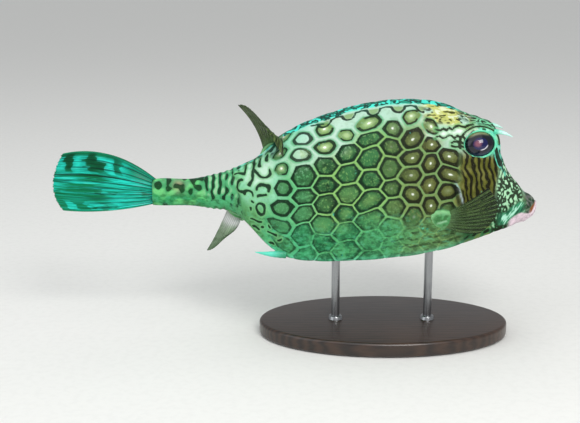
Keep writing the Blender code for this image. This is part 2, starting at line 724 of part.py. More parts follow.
def stand(collection, wood, steel):
    bm = bmesh.new()
    bmesh.ops.create_cone(bm, cap_ends=True, segments=56, radius1=0.5, radius2=0.5, depth=1)
    size = Matrix.Diagonal((BASE_LENGTH, BASE_WIDTH, BASE_HEIGHT, 1))
    bmesh.ops.transform(bm, matrix=Matrix.Translation((0, 0, BASE_HEIGHT / 2)) @ size, verts=bm.verts)
    base = object_from(bm, "stand_base", collection, wood)
    edge = base.modifiers.new("Bevel", "BEVEL")
    edge.width = BASE_EDGE
    edge.segments = 2
    edge.limit_method = "ANGLE"
    edge.angle_limit = math.radians(60)
    rods = []
    for x, name in zip(ROD_XS, ("stand_rod_rear", "stand_rod_front")):
        foot = Vector((x, 0, BASE_HEIGHT + GAP))
        top = Vector((x, 0, ROD_TOP))
        rod = cone_between(name, foot, top, ROD_RADIUS, ROD_RADIUS, collection, 20)
        rod.data.materials.append(steel)
        boolean(rod, [clearance_body(collection)], "DIFFERENCE")
        rods.append(rod)
    return [base, *rods]


def main():
    clear_scene()
    fish = collection_named("honeycomb_cowfish")
    shell = material_named("shell", (0.10, 0.34, 0.20), 0.45)
    skin = material_named("skin", (0.30, 0.55, 0.32), 0.45)
    lip = material_named("lip", (0.80, 0.74, 0.76), 0.40)
    membrane = material_named("fin", (0.10, 0.45, 0.34), 0.40)
    horn_bone = material_named("horn", (0.35, 0.80, 0.62), 0.40)
    eye_dark = material_named("eye", (0.02, 0.03, 0.05), 0.08)
    wood = material_named("stand_wood", (0.06, 0.05, 0.045), 0.40)
    steel = material_named("stand_steel", (0.55, 0.55, 0.56), 0.30, metallic=1.0)
    pieces = [
        trunk(fish, shell),
        head(fish, skin),
        lips(fish, lip),
        tail_stem(fish, skin),
        *fins(fish, membrane),
        *stand(fish, wood, steel),
    ]
    for side, suffix in ((-1, "right"), (1, "left")):
        pieces.append(eye(f"eye_{suffix}", side, fish, eye_dark))
        pieces.append(horn(f"horn_{suffix}", side, fish, horn_bone))
        pieces.append(rear_spine(f"rear_spine_{suffix}", side, fish, shell))
    for piece in pieces:
        smooth_shade(piece)


main()
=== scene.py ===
import json
import math
from types import SimpleNamespace

import bmesh
import bpy
import numpy as np
from mathutils import Matrix, Vector

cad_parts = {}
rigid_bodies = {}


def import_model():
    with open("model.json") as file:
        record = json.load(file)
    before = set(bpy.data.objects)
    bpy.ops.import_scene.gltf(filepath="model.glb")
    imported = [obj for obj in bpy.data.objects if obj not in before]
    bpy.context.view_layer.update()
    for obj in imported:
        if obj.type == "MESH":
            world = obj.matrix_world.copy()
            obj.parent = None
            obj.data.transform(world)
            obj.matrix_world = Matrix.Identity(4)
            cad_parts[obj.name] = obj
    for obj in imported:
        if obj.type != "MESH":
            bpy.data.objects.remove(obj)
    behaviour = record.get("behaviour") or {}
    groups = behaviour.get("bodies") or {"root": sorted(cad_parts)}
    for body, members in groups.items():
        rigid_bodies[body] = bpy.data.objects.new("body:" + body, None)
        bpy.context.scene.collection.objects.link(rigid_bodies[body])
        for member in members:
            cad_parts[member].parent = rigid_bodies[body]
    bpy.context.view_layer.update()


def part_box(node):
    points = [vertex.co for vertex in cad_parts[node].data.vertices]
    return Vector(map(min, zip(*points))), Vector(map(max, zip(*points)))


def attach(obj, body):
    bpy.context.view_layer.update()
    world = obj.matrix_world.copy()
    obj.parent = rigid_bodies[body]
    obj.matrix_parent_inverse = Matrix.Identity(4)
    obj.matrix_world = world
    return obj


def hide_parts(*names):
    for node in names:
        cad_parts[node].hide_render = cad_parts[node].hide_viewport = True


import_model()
mm = 0.001
print("frame loaded")


# small helpers for shapes

def rise(x, low, high):
    # 0 up to low and 1 from high on
    t = np.clip((x - low) / (high - low), 0, 1)
    return t * t * (3 - 2 * t)


def fall(x, low, high):
    return 1 - rise(x, low, high)


def within(x, low, high, soft):
    return rise(x, low - soft, low + soft) * fall(x, high - soft, high + soft)


def bump(x, width):
    return np.exp(-(x / width) ** 2)


def bent(points, t):
    # a curve through the first and last points, bent towards those between
    points = [np.array(p, float) for p in points]
    while len(points) > 1:
        points = [a + (b - a) * t for a, b in zip(points, points[1:])]
    return points[0]


def linear(colour):
    # display values of 0 to 255 to the linear ones that shaders take
    c = np.array(colour, float) / 255
    return np.where(c <= 0.04045, c / 12.92, ((c + 0.055) / 1.055) ** 2.4)


def coordsOf(bm):
    return np.array([v.co for v in bm.verts], float).reshape(-1, 3)


def placeAll(bm, points):
    for v, p in zip(bm.verts, points):
        v.co = p


def meshFrom(bm, name):
    mesh = bpy.data.meshes.new(name)
    bm.to_mesh(mesh)
    bm.free()
    return mesh


def addObject(name, data):
    obj = bpy.data.objects.new(name, data)
    bpy.context.scene.collection.objects.link(obj)
    return obj


def finishPiece(bm, name, material, nodes, attributes=None):
    # attributes, each with a type and its values, are set before the object is made to ride
    mesh = meshFrom(bm, name)
    fields = {"FLOAT": "value", "FLOAT_VECTOR": "vector", "FLOAT_COLOR": "color"}
    for label, (kind, values) in (attributes or {}).items():
        made = mesh.attributes.new(label, kind, "POINT")
        made.data.foreach_set(fields[kind], np.asarray(values, np.float32).ravel())
    mesh.shade_smooth()
    obj = addObject(name, mesh)
    mesh.materials.append(material)
    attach(obj, "root")
    if nodes:
        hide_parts(*nodes)
    return obj


# shader writing: a socket that takes arithmetic, and a maker of materials

class Value:
    def __init__(self, maker, socket):
        self.maker = maker
        self.socket = socket

    def __add__(self, other):
        return self.maker.maths("ADD", self, other)

    def __radd__(self, other):
        return self.maker.maths("ADD", other, self)

    def __sub__(self, other):
        return self.maker.maths("SUBTRACT", self, other)

    def __rsub__(self, other):
        return self.maker.maths("SUBTRACT", other, self)

    def __mul__(self, other):
        return self.maker.maths("MULTIPLY", self, other)

    def __rmul__(self, other):
        return self.maker.maths("MULTIPLY", other, self)

    def __abs__(self):
        return self.maker.maths("ABSOLUTE", self)


class Finish:
    # a material, whose colours are named in a palette of display values of 0 to 255
    def __init__(self, name, palette):
        self.material = bpy.data.materials.new(name)
        self.material.use_nodes = True
        self.tree = self.material.node_tree
        self.shader = self.tree.nodes["Principled BSDF"]
        self.palette = palette

    def connect(self, value, socket):
        # the value of another node is linked, and a plain one is set
        if isinstance(value, Value):
            self.tree.links.new(value.socket, socket)
        else:
            socket.default_value = value

    def node(self, kind, settings=None, sockets=None, out=0):
        made = self.tree.nodes.new(kind)
        for key, value in (settings or {}).items():
            setattr(made, key, value)
        for key, value in (sockets or {}).items():
            self.connect(value, made.inputs[key])
        return Value(self, made.outputs[out])

    def maths(self, operation, *values):
        return self.node("ShaderNodeMath", {"operation": operation}, dict(enumerate(values)))

    def smaller(self, a, b):
        return self.maths("MINIMUM", a, b)

    def larger(self, a, b):
        return self.maths("MAXIMUM", a, b)

    def length(self, x, y):
        return self.maths("SQRT", x * x + y * y)

    def rise(self, value, low, high):
        settings = {"interpolation_type": "SMOOTHSTEP"}
        return self.node("ShaderNodeMapRange", settings, {0: value, 1: low, 2: high})

    def fall(self, value, low, high):
        return 1 - self.rise(value, low, high)

    def colour(self, value):
        # a name in the palette becomes its linear colour, and the colour of a node stays as it is
        return (*linear(self.palette[value]), 1.0) if isinstance(value, str) else value

    def blend(self, a, b, share):
        # a colour mix, from a to b
        sockets = {0: share, 6: self.colour(a), 7: self.colour(b)}
        return self.node("ShaderNodeMix", {"data_type": "RGBA"}, sockets, 2)

    def coats(self, colour, layers):
        # colours laid over one another, each by its own share
        for over, share in layers:
            colour = self.blend(colour, over, share)
        return colour

    def attribute(self, name, out="Fac"):
        return self.node("ShaderNodeAttribute", {"attribute_name": name}, out=out)

    def parts(self, vector):
        split = self.node("ShaderNodeSeparateXYZ", {}, {0: vector})
        return [Value(self, s) for s in split.socket.node.outputs]

    def joined(self, x, y, z=0.0):
        return self.node("ShaderNodeCombineXYZ", {}, {0: x, 1: y, 2: z})

    def place(self):
        return self.node("ShaderNodeTexCoord", out="Object")

    def stretched(self, vector, scale):
        return self.node("ShaderNodeMapping", {}, {"Vector": vector, "Scale": scale})

    def noise(self, vector, scale, detail, rough=0.55, warp=0.0):
        sockets = {"Vector": vector, "Scale": scale, "Detail": detail, "Roughness": rough, "Distortion": warp}
        return self.node("ShaderNodeTexNoise", {}, sockets)

    def relief(self, height, strength, distance):
        return self.node("ShaderNodeBump", {}, {"Height": height, "Strength": strength, "Distance": distance})

    def finish(self, **sockets):
        # in the names of the sockets _ stands for a space
        for key, value in sockets.items():
            self.connect(value, self.shader.inputs[key.replace("_", " ")])
        return self.material


# the body: sections from the end of the tail stem to the mouth

body = {
    # crest x and z, keel x and z, half width, shoulder, hip, belly sag, in mm
    "stations": (
        (-143.0, 98.8, -143.0, 87.5, 4.4, 5.0, 1.0, 4.6),
        (-136.0, 99.6, -136.0, 87.4, 5.0, 5.8, 1.0, 4.8),
        (-120.0, 99.2, -120.0, 87.6, 5.6, 6.4, 1.0, 5.0),
        (-106.0, 101.8, -106.0, 86.8, 7.4, 8.4, 1.0, 6.0),
        (-98.0, 104.0, -98.0, 86.6, 8.8, 9.8, 1.0, 6.6),
        (-92.0, 106.4, -92.0, 84.6, 11.0, 11.6, 1.0, 6.2),
        (-85.5, 109.4, -85.5, 77.2, 15.6, 13.6, 0.98, 4.0),
        (-79.0, 112.6, -79.0, 70.4, 20.2, 15.4, 0.95, 2.4),
        (-72.0, 119.4, -72.0, 64.4, 25.0, 17.0, 0.92, 1.8),
        (-66.0, 124.8, -66.0, 60.6, 28.6, 18.4, 0.90, 1.8),
        (-58.0, 129.9, -58.0, 57.8, 31.2, 20.0, 0.88, 2.0),
        (-48.0, 134.8, -48.0, 56.9, 32.8, 21.4, 0.87, 2.2),
        (-33.0, 140.3, -33.0, 56.8, 34.0, 23.0, 0.86, 2.4),
        (-18.0, 144.7, -18.0, 57.5, 34.4, 24.0, 0.86, 2.4),
        (0.0, 147.6, 0.0, 58.8, 34.0, 24.6, 0.86, 2.2),
        (15.0, 148.2, 15.0, 60.4, 33.0, 25.0, 0.86, 2.0),
        (28.0, 147.1, 28.0, 62.2, 30.8, 25.4, 0.87, 1.8),
        (38.0, 144.4, 38.0, 64.1, 28.2, 25.6, 0.88, 1.8),
        (47.0, 140.4, 47.0, 66.1, 25.2, 25.2, 0.90, 1.8),
        (56.0, 137.4, 56.0, 68.2, 21.8, 24.2, 0.92, 2.0),
        (63.0, 134.4, 63.4, 70.2, 18.6, 22.0, 0.94, 2.2),
        (66.8, 128.6, 68.0, 71.2, 16.2, 18.6, 0.95, 2.4),
        (68.0, 120.6, 71.4, 72.0, 14.2, 15.4, 0.96, 2.6),
        (70.6, 113.0, 74.4, 72.8, 12.4, 13.2, 0.97, 2.8),
        (74.6, 104.4, 77.8, 73.8, 10.8, 11.6, 0.98, 3.2),
        (79.6, 97.4, 81.4, 75.0, 9.4, 10.2, 1.0, 3.6),
        (84.6, 91.8, 85.0, 76.6, 8.2, 9.2, 1.0, 4.2),
    ),
    # muzzle outlines: middle x and z, half width and height, tilt in degrees
    "muzzle": (
        (85.3, 81.8, 8.2, 9.4, 0),
        (87.2, 81.1, 8.0, 8.7, 10),
        (88.6, 80.2, 7.6, 7.7, 20),
        (89.9, 79.7, 6.7, 6.4, 26),
        (90.7, 79.3, 5.4, 4.7, 26),
        (91.3, 79.0, 3.6, 3.0, 26),
        (91.6, 78.8, 1.6, 1.3, 26),
    ),
    "keelAngle": -33.6,  # where the keel lies on an oval ring, in degrees
    "bellyFlat": 0.72,  # share of the half width
    "hipHeight": 0.33,  # share of the flank's height
    "stemRings": 236,
    "faceRings": 106,
    "muzzleRings": 30,
    "faceStation": 19.5,  # from here on the rings are closer
    "ovalStations": 2.5,  # how many of the last stations turn oval
    "lengthSamples": 1200,
    "curveSamples": 48,
    # half rows of plates on half the belly and on a flank, and vertices for each
    "bellyRows": 5,
    "flankRows": 17,
    "perHalfRow": 6,
    # the lattice of plates, with its sways as a size in plates and a length in mm
    "platePitch": 13.0,
    "firstPlateX": -90.0,
    "frontShift": 0.3,
    "rearRows": (0.042, 0.84),  # at the rear: the share at the keel, and the spread
    "columnSway": (0.075, 27),
    "rowSway": (0.15, 24),
    "plateDome": 0.34,
    "plateGroove": 0.22,
}

bellySteps = body["bellyRows"] * body["perHalfRow"]
flankSteps = body["flankRows"] * body["perHalfRow"]


def stationValues(s):
    table = np.array(body["stations"])
    last = len(table) - 1
    low = np.clip(s.astype(int), 0, last - 1)
    t = (s - low)[:, None]
    p0, p1 = table[np.maximum(low - 1, 0)], table[low]
    p2, p3 = table[low + 1], table[np.minimum(low + 2, last)]
    return 0.5 * (2 * p1 + (p2 - p0) * t + (2 * p0 - 5 * p1 + 4 * p2 - p3) * t**2
                  + (3 * p1 - p0 - 3 * p2 + p3) * t**3)


def evenLine(corners, steps):
    # places at even distances along a bent line
    line = bent(corners, np.linspace(0, 1, body["curveSamples"])[:, None])
    lengths = np.r_[0, np.cumsum(np.linalg.norm(np.diff(line, axis=0), axis=1))]
    places = np.linspace(0, 1, steps + 1) * lengths[-1]
    return np.stack([np.interp(places, lengths, line[:, i]) for i in (0, 1)], 1)


def bodyRing(values):
    # from the middle of the belly up the left flank, over the crest and down the right one
    crestX, crestZ, keelX, keelZ, width, shoulder, hip, sag = values
    height = crestZ - keelZ
    sagZ, hipZ = keelZ - sag, keelZ + body["hipHeight"] * height
    belly = evenLine(((0, sagZ), (width * body["bellyFlat"], sagZ), (width, keelZ)), bellySteps)
    flank = evenLine(((width, keelZ), (width * hip, hipZ), (shoulder, crestZ), (0, crestZ)), flankSteps)
    half = np.concatenate([belly, flank[1:]])
    ring = np.concatenate([half, half[::-1][1:] * (-1, 1)])
    x = crestX + (keelX - crestX) * (crestZ - ring[:, 1]) / height
    return np.column_stack([x, ring])


def ovalRing(x, z, halfWidth, halfHeight, tilt):
    low = np.linspace(-90, body["keelAngle"], bellySteps + 1)
    high = np.linspace(body["keelAngle"], 90, flankSteps + 1)[1:]
    half = np.concatenate([low, high])
    angle = np.radians(np.concatenate([half, 180 - half[::-1][1:]]))
    lean = math.radians(tilt)
    up = halfHeight * np.sin(angle)
    return np.column_stack([x + up * math.sin(lean), halfWidth * np.cos(angle), z + up * math.cos(lean)])


def bodyRings():
    lastStation = len(body["stations"]) - 1
    dense = np.linspace(0, lastStation, body["lengthSamples"])
    table = stationValues(dense)
    # rings are spaced by the way along the crest and along the keel together
    edges = table[:, :2], table[:, 2:4]
    steps = sum(np.linalg.norm(np.diff(edge, axis=0), axis=1) for edge in edges)
    along = np.r_[0, np.cumsum(steps)]
    faceStart = np.interp(body["faceStation"], dense, along)
    trunk = np.linspace(0, faceStart, body["stemRings"], endpoint=False)
    face = np.linspace(faceStart, along[-1], body["faceRings"])
    stations = np.interp(np.r_[trunk, face], along, dense)
    rings = []
    for s, values in zip(stations, stationValues(stations)):
        ring = bodyRing(values)
        crestX, _, keelX, _, width = values[:5]
        rounded = rise(s, lastStation - body["ovalStations"], lastStation)
        if rounded > 0:
            top, bottom = ring[:, 2].max(), ring[:, 2].min()
            oval = ovalRing((crestX + keelX) / 2, (top + bottom) / 2, width, (top - bottom) / 2, 0)
            ring = ring * (1 - rounded) + oval * rounded
        rings.append(ring)
    muzzle = np.array(body["muzzle"], float)
    share = np.linspace(0, len(muzzle) - 1, body["muzzleRings"])
    smoothed = [np.interp(share, np.arange(len(muzzle)), muzzle[:, i]) for i in range(5)]
    rings += [ovalRing(*row) for row in list(zip(*smoothed))[1:]]
    return np.array(rings)


# the head's details, in mm; y is for the left side and the right one mirrors it

head = {
    "eyeCentre": (54.0, 12.2, 122.9),
    "eyeRadii": (10.4, 7.0, 8.5),
    "eyeTilt": 14.0,
    "eyeRoll": -8.0,
    "rimRadii": (9.6, 7.9),
    "rimOut": 3.8,
    "browStart": (44.0, 12.6, 131.6),
    "browEnd": (65.0, 12.8, 130.2),
    "hornTip": (73.6, 15.0, 128.0),
    "nostril": (69.2, 8.6, 112.5),
    "gillTop": (38.4, 23.6, 102.5),
    "gillFoot": (43.6, 26.0, 87.5),
    "gillBow": 0.7,
    "gillLimitZ": 112,
    "mouthCorner": (88.0, 76.7),
    "mouthFront": (92.5, 85.0),
    # the slit between the lips: a place near it, the way up from it, and its lift and droop
    "slitPlace": (91, 79),
    "slitUp": (0.438, 0.899),
    "slitLift": 1.2,
    "slitDroop": 3.0,
    "slitHalfWidth": 6.5,
}

# raised and sunken forms: height and width of a line in mm, or a height or pitch alone
forms = {
    "folds": 0.32, "foldPitch": 3.9, "foldEnds": (-116, -89), "cheekWaves": 0.10, "eyePit": 5.5,
    "brow": (1.5, 2.9), "nostrilRim": (0.45, 0.6), "nostrilPit": (-0.9, 0.8),
    "gillFlap": (1.1, 1.3), "gillSlit": (-1.5, 0.9),
    "lipEdge": (0.30, 0.8), "lipGroove": (-0.5, 0.6), "lips": (0.35, 0.9), "mouthSlit": (-1.5, 0.42),
}


def ridge(distance, form):
    height, width = forms[form]
    return height * bump(distance, width)


def eyeTurn(side):
    tilt = Matrix.Rotation(side * math.radians(head["eyeTilt"]), 3, "X")
    return tilt @ Matrix.Rotation(math.radians(head["eyeRoll"]), 3, "Y")


def sided(point, side):
    return np.array((point[0], point[1] * side, point[2]), float)


def segmentDistance(points, start, end):
    start, end = np.array(start, float), np.array(end, float)
    axis = end - start
    share = np.clip((points - start) @ axis / (axis @ axis), 0, 1)
    return np.linalg.norm(points - (start + share[:, None] * axis), axis=1)


def besideEye(points, side):
    # places in the axes of the eye's rim, and how far out they lie, with 1 on the rim
    turn = np.array(eyeTurn(side))
    rim = sided(head["eyeCentre"], side) + turn @ np.array((0, side, 0)) * head["rimOut"]
    local = (points - rim) @ turn
    oval = np.hypot(local[:, 0] / head["rimRadii"][0], local[:, 2] / head["rimRadii"][1])
    return turn, rim, local, oval


def mouthPlane(points):
    # depth in front of the line of the mouth, and height above its corner
    corner, front = np.array(head["mouthCorner"]), np.array(head["mouthFront"])
    axis = (front - corner) / np.linalg.norm(front - corner)
    offset = points[:, [0, 2]] - corner
    return offset @ np.array((axis[1], -axis[0])), offset @ axis


def mouthGape(points):
    # height above the slit between the lips, which droops towards both corners
    x, y, z = points.T
    (midX, midZ), (upX, upZ) = head["slitPlace"], head["slitUp"]
    droop = head["slitDroop"] * (y / head["slitHalfWidth"]) ** 2
    return (x - midX) * upX + (z - midZ) * upZ - head["slitLift"] + droop


def platePlaces(points, share):
    # column and half row of a place in the lattice of plates, drawn together at the rear and a
    # little out of true, as on a real shell
    x = points[:, 0]
    rear = fall(x, -56, -30)
    keelRow, spread = body["rearRows"]
    row = body["flankRows"] * (share * (1 - rear) + (keelRow + share * spread) * rear)
    column = (x - body["firstPlateX"]) / body["platePitch"] + body["frontShift"] * rise(x, 8, 36)
    size, length = body["columnSway"]
    column = column + size * waves(points, length, (1, 1, 1), 31)
    size, length = body["rowSway"]
    row = row + size * waves(points, length, (1, 1, 1), 32) * rise(share, 0.0, 0.1)
    return column, row


def hexDistance(column, row):
    # 0 at a plate's middle and 1 at its edge
    best = None
    for shift in (0, 1):
        dx = np.abs((column + shift + 1) % 2 - 1)
        dy = np.abs((row + shift + 1) % 2 - 1)
        metric = np.maximum(dy, 1.5 * dx + 0.5 * dy)
        best = metric if best is None else np.minimum(best, metric)
    return best


def nearestPlate(column, row):
    even = np.stack([2 * np.rint(column / 2), 2 * np.rint(row / 2)])
    odd = np.stack([2 * np.rint((column - 1) / 2) + 1, 2 * np.rint((row - 1) / 2) + 1])
    reach = [np.maximum(abs(row - r), 1.5 * abs(column - c) + 0.5 * abs(row - r)) for c, r in (even, odd)]
    return np.where(reach[0] < reach[1], even, odd)


def waves(points, length, spread, seed, count=36):
    # a band of waves of one length: its level lines make the fish's worm-like marks
    draw = np.random.RandomState(seed)
    directions = draw.normal(size=(count, 3)) * np.array(spread)
    directions /= np.linalg.norm(directions, axis=1)[:, None]
    lengths = length * draw.uniform(0.82, 1.2, count)
    phases = draw.uniform(0, 2 * math.pi, count)
    total = np.zeros(len(points))
    for direction, size, phase in zip(directions, lengths, phases):
        total += np.cos(points @ direction * (2 * math.pi / size) + phase)
    return total / math.sqrt(count / 2)


def gillLine(points, side):
    # distance in front of the gill's edge, and share of the way down it
    top, foot = sided(head["gillTop"], side), sided(head["gillFoot"], side)
    down = (top[2] - points[:, 2]) / (top[2] - foot[2])
    line = top[0] + (foot[0] - top[0]) * down + head["gillBow"] * np.sin(np.clip(down, 0, 1) * math.pi)
    near = (points[:, 1] * side > 0) & (points[:, 2] < head["gillLimitZ"])
    return np.where(near, points[:, 0] - line, 99.0), down


def plateLift(points, column, row):
    # the plates' domes and grooves, and the folds round the stem
    x, z = points[:, 0], points[:, 2]
    hexes = hexDistance(column, row)
    plated = rise(x, -84, -70) * fall(x, 40, 47)
    lift = plated * (body["plateDome"] * (1 - hexes**2) - body["plateGroove"] * rise(hexes, 0.86, 0.98))
    rearEnd, frontEnd = forms["foldEnds"]
    folds = np.clip((x - rearEnd) / 10, 0, 1) * np.clip((frontEnd - x) / 4, 0, 1)
    return lift + forms["folds"] * folds * np.cos(2 * math.pi * x / forms["foldPitch"] + 0.5 * np.sin(z / 3))


def headLift(points):
    # the cheeks, the brows, the nostrils and the gills' edges
    x = points[:, 0]
    lift = forms["cheekWaves"] * rise(x, 44, 50) * fall(x, 80, 84) * waves(points, 6.5, (1, 0.3, 0.5), 41)
    for side in (1, -1):
        here = np.where(points[:, 1] * side > -2, 1.0, 0.0)
        brow = segmentDistance(points, sided(head["browStart"], side), sided(head["browEnd"], side))
        nostril = np.linalg.norm(points - sided(head["nostril"], side), axis=1)
        nostrils = ridge(nostril - 1.5, "nostrilRim") + ridge(nostril, "nostrilPit")
        lift += here * (ridge(brow, "brow") + nostrils)
        ahead, down = gillLine(points, side)
        inside = rise(down, -0.12, 0.2) * fall(down, 0.82, 1.12)
        lift += inside * (ridge(ahead - 0.9, "gillFlap") + ridge(ahead + 1.3, "gillSlit"))
    return lift


def mouthLift(points):
    # the edge behind the lips, the lips and the slit between them
    x = points[:, 0]
    depth, height = mouthPlane(points)
    gape = mouthGape(points)
    edge = rise(x, 85.5, 87.5) * rise(height, -1.0, 0.8)
    edge = edge * (ridge(depth - 0.3, "lipEdge") + ridge(depth + 1.4, "lipGroove"))
    return edge + rise(x, 88.4, 89.8) * (ridge(np.abs(gape) - 1.5, "lips") + ridge(gape, "mouthSlit"))


def settleEye(points, side):
    # the skin climbs to the rim round the eye and sinks behind the eyeball
    turn, rim, local, oval = besideEye(points, side)
    here = (points[:, 1] * side > 1) & (oval < 2) & (points[:, 0] > 38)
    high = local[:, 1] * side
    raised = fall(oval, 1.0, 1.62) * 0.95
    target = np.where(high < 0, high * (1 - raised), high)
    sunk = fall(oval, 0.93, 1.0)
    local[:, 1] = (target * (1 - sunk) - forms["eyePit"] * sunk) * side
    points[here] = (local @ turn.T + rim)[here]


def skinShape(rings):
    # the skin's vertices with all their forms, and where each lies in the lattice of plates
    points = rings.reshape(-1, 3).copy()
    shape = rings.shape
    along = np.gradient(rings, axis=0)
    around = np.gradient(rings, axis=1)
    around[:, 0] = around[:, -1] = rings[:, 1] - rings[:, -2]
    normal = np.cross(around, along).reshape(-1, 3)
    normal /= np.maximum(np.linalg.norm(normal, axis=1), 1e-9)[:, None]
    lastRow = 2 * body["flankRows"] + body["bellyRows"]
    rows = np.tile(np.linspace(-body["bellyRows"], lastRow, shape[1]), shape[0])
    share = (body["flankRows"] - np.abs(rows - body["flankRows"])) / body["flankRows"]
    column, row = platePlaces(points, share)
    lift = plateLift(points, column, row) + headLift(points) + mouthLift(points)
    points += normal * lift[:, None]
    for side in (1, -1):
        settleEye(points, side)
    return points, share, column, row


# dark lines drawn on the skin, in mm: x and z on either flank

lines = {
    # middle x and z, half width, half height, and the angles that the line runs between
    "loops": (
        (-74.7, 96.4, 4.0, 2.8, -10, 190), (-84.0, 92.6, 3.0, 2.4, 10, 180),
        (-76.2, 85.4, 2.9, 3.3, 0, 360), (-74.6, 107.0, 4.9, 3.9, 185, 380),
        (-88.0, 97.5, 2.6, 3.4, 80, 290), (-79.2, 71.8, 2.2, 2.0, 30, 250),
    ),
    "dashes": (
        ((-77.6, 92.6), (-72.4, 93.9)), ((-82.2, 90.3), (-81.3, 89.6)), ((-81.9, 78.8), (-76.2, 77.9)),
        ((-71.2, 75.9), (-70.4, 75.3)), ((-75.9, 74.3), (-75.0, 73.9)), ((-71.6, 71.8), (-67.4, 71.1)),
        ((-65.9, 68.5), (-64.2, 68.9)), ((-83.0, 85.4), (-82.4, 83.2)), ((-72.0, 65.6), (-68.8, 64.6)),
        ((-79.8, 112.4), (-80.4, 107.4), (-81.2, 102.3), (-83.0, 98.6)),
        ((-84.8, 108.6), (-86.2, 104.6), (-91.0, 103.4)),
        ((-72.4, 112.6), (-71.6, 115.4)), ((-76.0, 112.4), (-77.0, 109.6)),
    ),
    "brow": (
        ((27.0, 133.0), (30.2, 132.4), (32.0, 133.3), (33.8, 132.5), (35.5, 133.6), (37.3, 132.6),
         (39.0, 134.1), (41.6, 134.7), (43.5, 133.7), (45.2, 133.3), (47.0, 134.3), (50.5, 134.8)),
        ((27.0, 128.4), (29.4, 129.3), (31.4, 127.9), (33.2, 128.3), (35.0, 129.6), (36.8, 129.2),
         (38.4, 127.7), (40.4, 129.3), (42.0, 127.9), (43.6, 128.9), (45.2, 126.6)),
        ((36.4, 125.2), (38.2, 126.0), (41.4, 125.9), (44.0, 124.6)),
        ((36.8, 123.6), (39.2, 122.8), (42.0, 123.2), (44.4, 122.6)),
    ),
    "nose": (((63.4, 120.4), (66.0, 114.0), (69.0, 108.9), (73.6, 103.2)),),
    # the scalloped line under the crest: pitch, middle and height of the cups, and their shape
    "scallopPitch": 14.6,
    "scallopMiddle": -8.9,
    "scallopShare": 0.902,
    "scallopLift": 0.9,
    "cupRadii": (3.9, 4.6),
    "cupTop": 0.4,
    "cupFill": (3.4, 3.6),
    "flankLength": 105.0,  # from the keel up to the crest
    "farAway": 9.0,
}


def lineDistance(u, v, paths):
    # distance in mm from the nearest of some lines, each given by its corners
    nearest = np.full(len(u), lines["farAway"])
    for path in paths:
        for (u0, v0), (u1, v1) in zip(path, path[1:]):
            du, dv = u1 - u0, v1 - v0
            t = np.clip(((u - u0) * du + (v - v0) * dv) / (du * du + dv * dv), 0, 1)
            nearest = np.minimum(nearest, np.hypot(u - u0 - t * du, v - v0 - t * dv))
    return nearest


def loopPaths():
    paths = []
    for x, z, wide, high, start, stop in lines["loops"]:
        turn = np.radians(np.linspace(start, stop, 15))
        paths.append(list(zip(x + wide * np.cos(turn), z + high * np.sin(turn))))
    return paths


def scallops(x, share):
    # the wavy line under the crest with a cup hanging from it at each plate, and the cups' insides
    up = (share - lines["scallopShare"]) * lines["flankLength"]
    pitch = lines["scallopPitch"]
    off = (x - lines["scallopMiddle"] + pitch / 2) % pitch - pitch / 2
    turn = np.radians(np.linspace(180, 360, 9))
    (cupWide, cupDeep), (fillWide, fillDeep) = lines["cupRadii"], lines["cupFill"]
    lift, top = lines["scallopLift"], lines["cupTop"]
    cup = list(zip(cupWide * np.cos(turn), top + cupDeep * np.sin(turn)))
    line = lineDistance(off, up, [[(-pitch / 2, lift), *cup, (pitch / 2, lift)]])
    inside = fall(np.hypot(off / fillWide, (up + top) / fillDeep), 0.75, 1.0) * fall(up, 0, 0.8)
    return line, inside


# the skin's colours: grounds, the insides of plates, inks for rings and lines, small light marks, painted
# highlights on the plates and the keel, and a painted shade for the slits

palette = {
    "leaf": (134, 184, 104), "olive": (130, 130, 70), "mint": (92, 186, 128), "paleMint": (140, 204, 168),
    "cream": (170, 206, 186), "turquoise": (74, 222, 198), "teal": (52, 162, 106), "yellow": (190, 194, 104),
    "cheek": (90, 92, 30), "snout": (176, 232, 186), "throat": (58, 118, 70), "stem": (44, 146, 82),
    # the last colour on this line is a painted highlight along the keel's edge
    "stemLight": (106, 206, 122), "pink": (168, 132, 112), "keelHighlight": (112, 214, 184),
    "white": (224, 238, 226), "moss": (84, 138, 82), "brow": (136, 214, 150), "jaw": (52, 146, 104),
    "lipWhite": (228, 208, 218), "lipOrange": (142, 84, 46), "muzzle": (34, 66, 44), "flap": (176, 200, 206),
    "plateGreen": (50, 108, 60), "plateOlive": (88, 96, 46), "plateTeal": (36, 122, 74),
    "plateBright": (118, 152, 88), "plateMint": (72, 138, 84), "noseFill": (52, 132, 92),
    "inkGreen": (2, 34, 16), "inkDeep": (0, 58, 42), "inkOlive": (18, 22, 4), "inkBrown": (14, 12, 0),
    # the last colour on this line is painted shade for the slits of the mouth and the gills
    "stemInk": (8, 60, 26), "jawInk": (16, 63, 48), "slit": (13, 22, 16),
    # the first two colours on this line are painted highlights: a light middle and a white dot on the upper
    # and front plates
    "plateHighlight": (206, 231, 173), "plateGlint": (239, 246, 236), "plateHalo": (75, 158, 105),
    "drop": (70, 226, 204), "dropShade": (8, 118, 90), "dropEdge": (0, 44, 32),
    "wormLight": (221, 241, 206), "cheekLight": (142, 137, 63), "blobLight": (206, 246, 206),
    "tickLight": (231, 243, 221), "grainLight": (97, 197, 153), "jawLight": (188, 246, 221),
    "strokeEdge": (111, 181, 118), "bridgeEdge": (97, 212, 181), "speck": (225, 243, 218),
    "blush": (158, 149, 155),
}

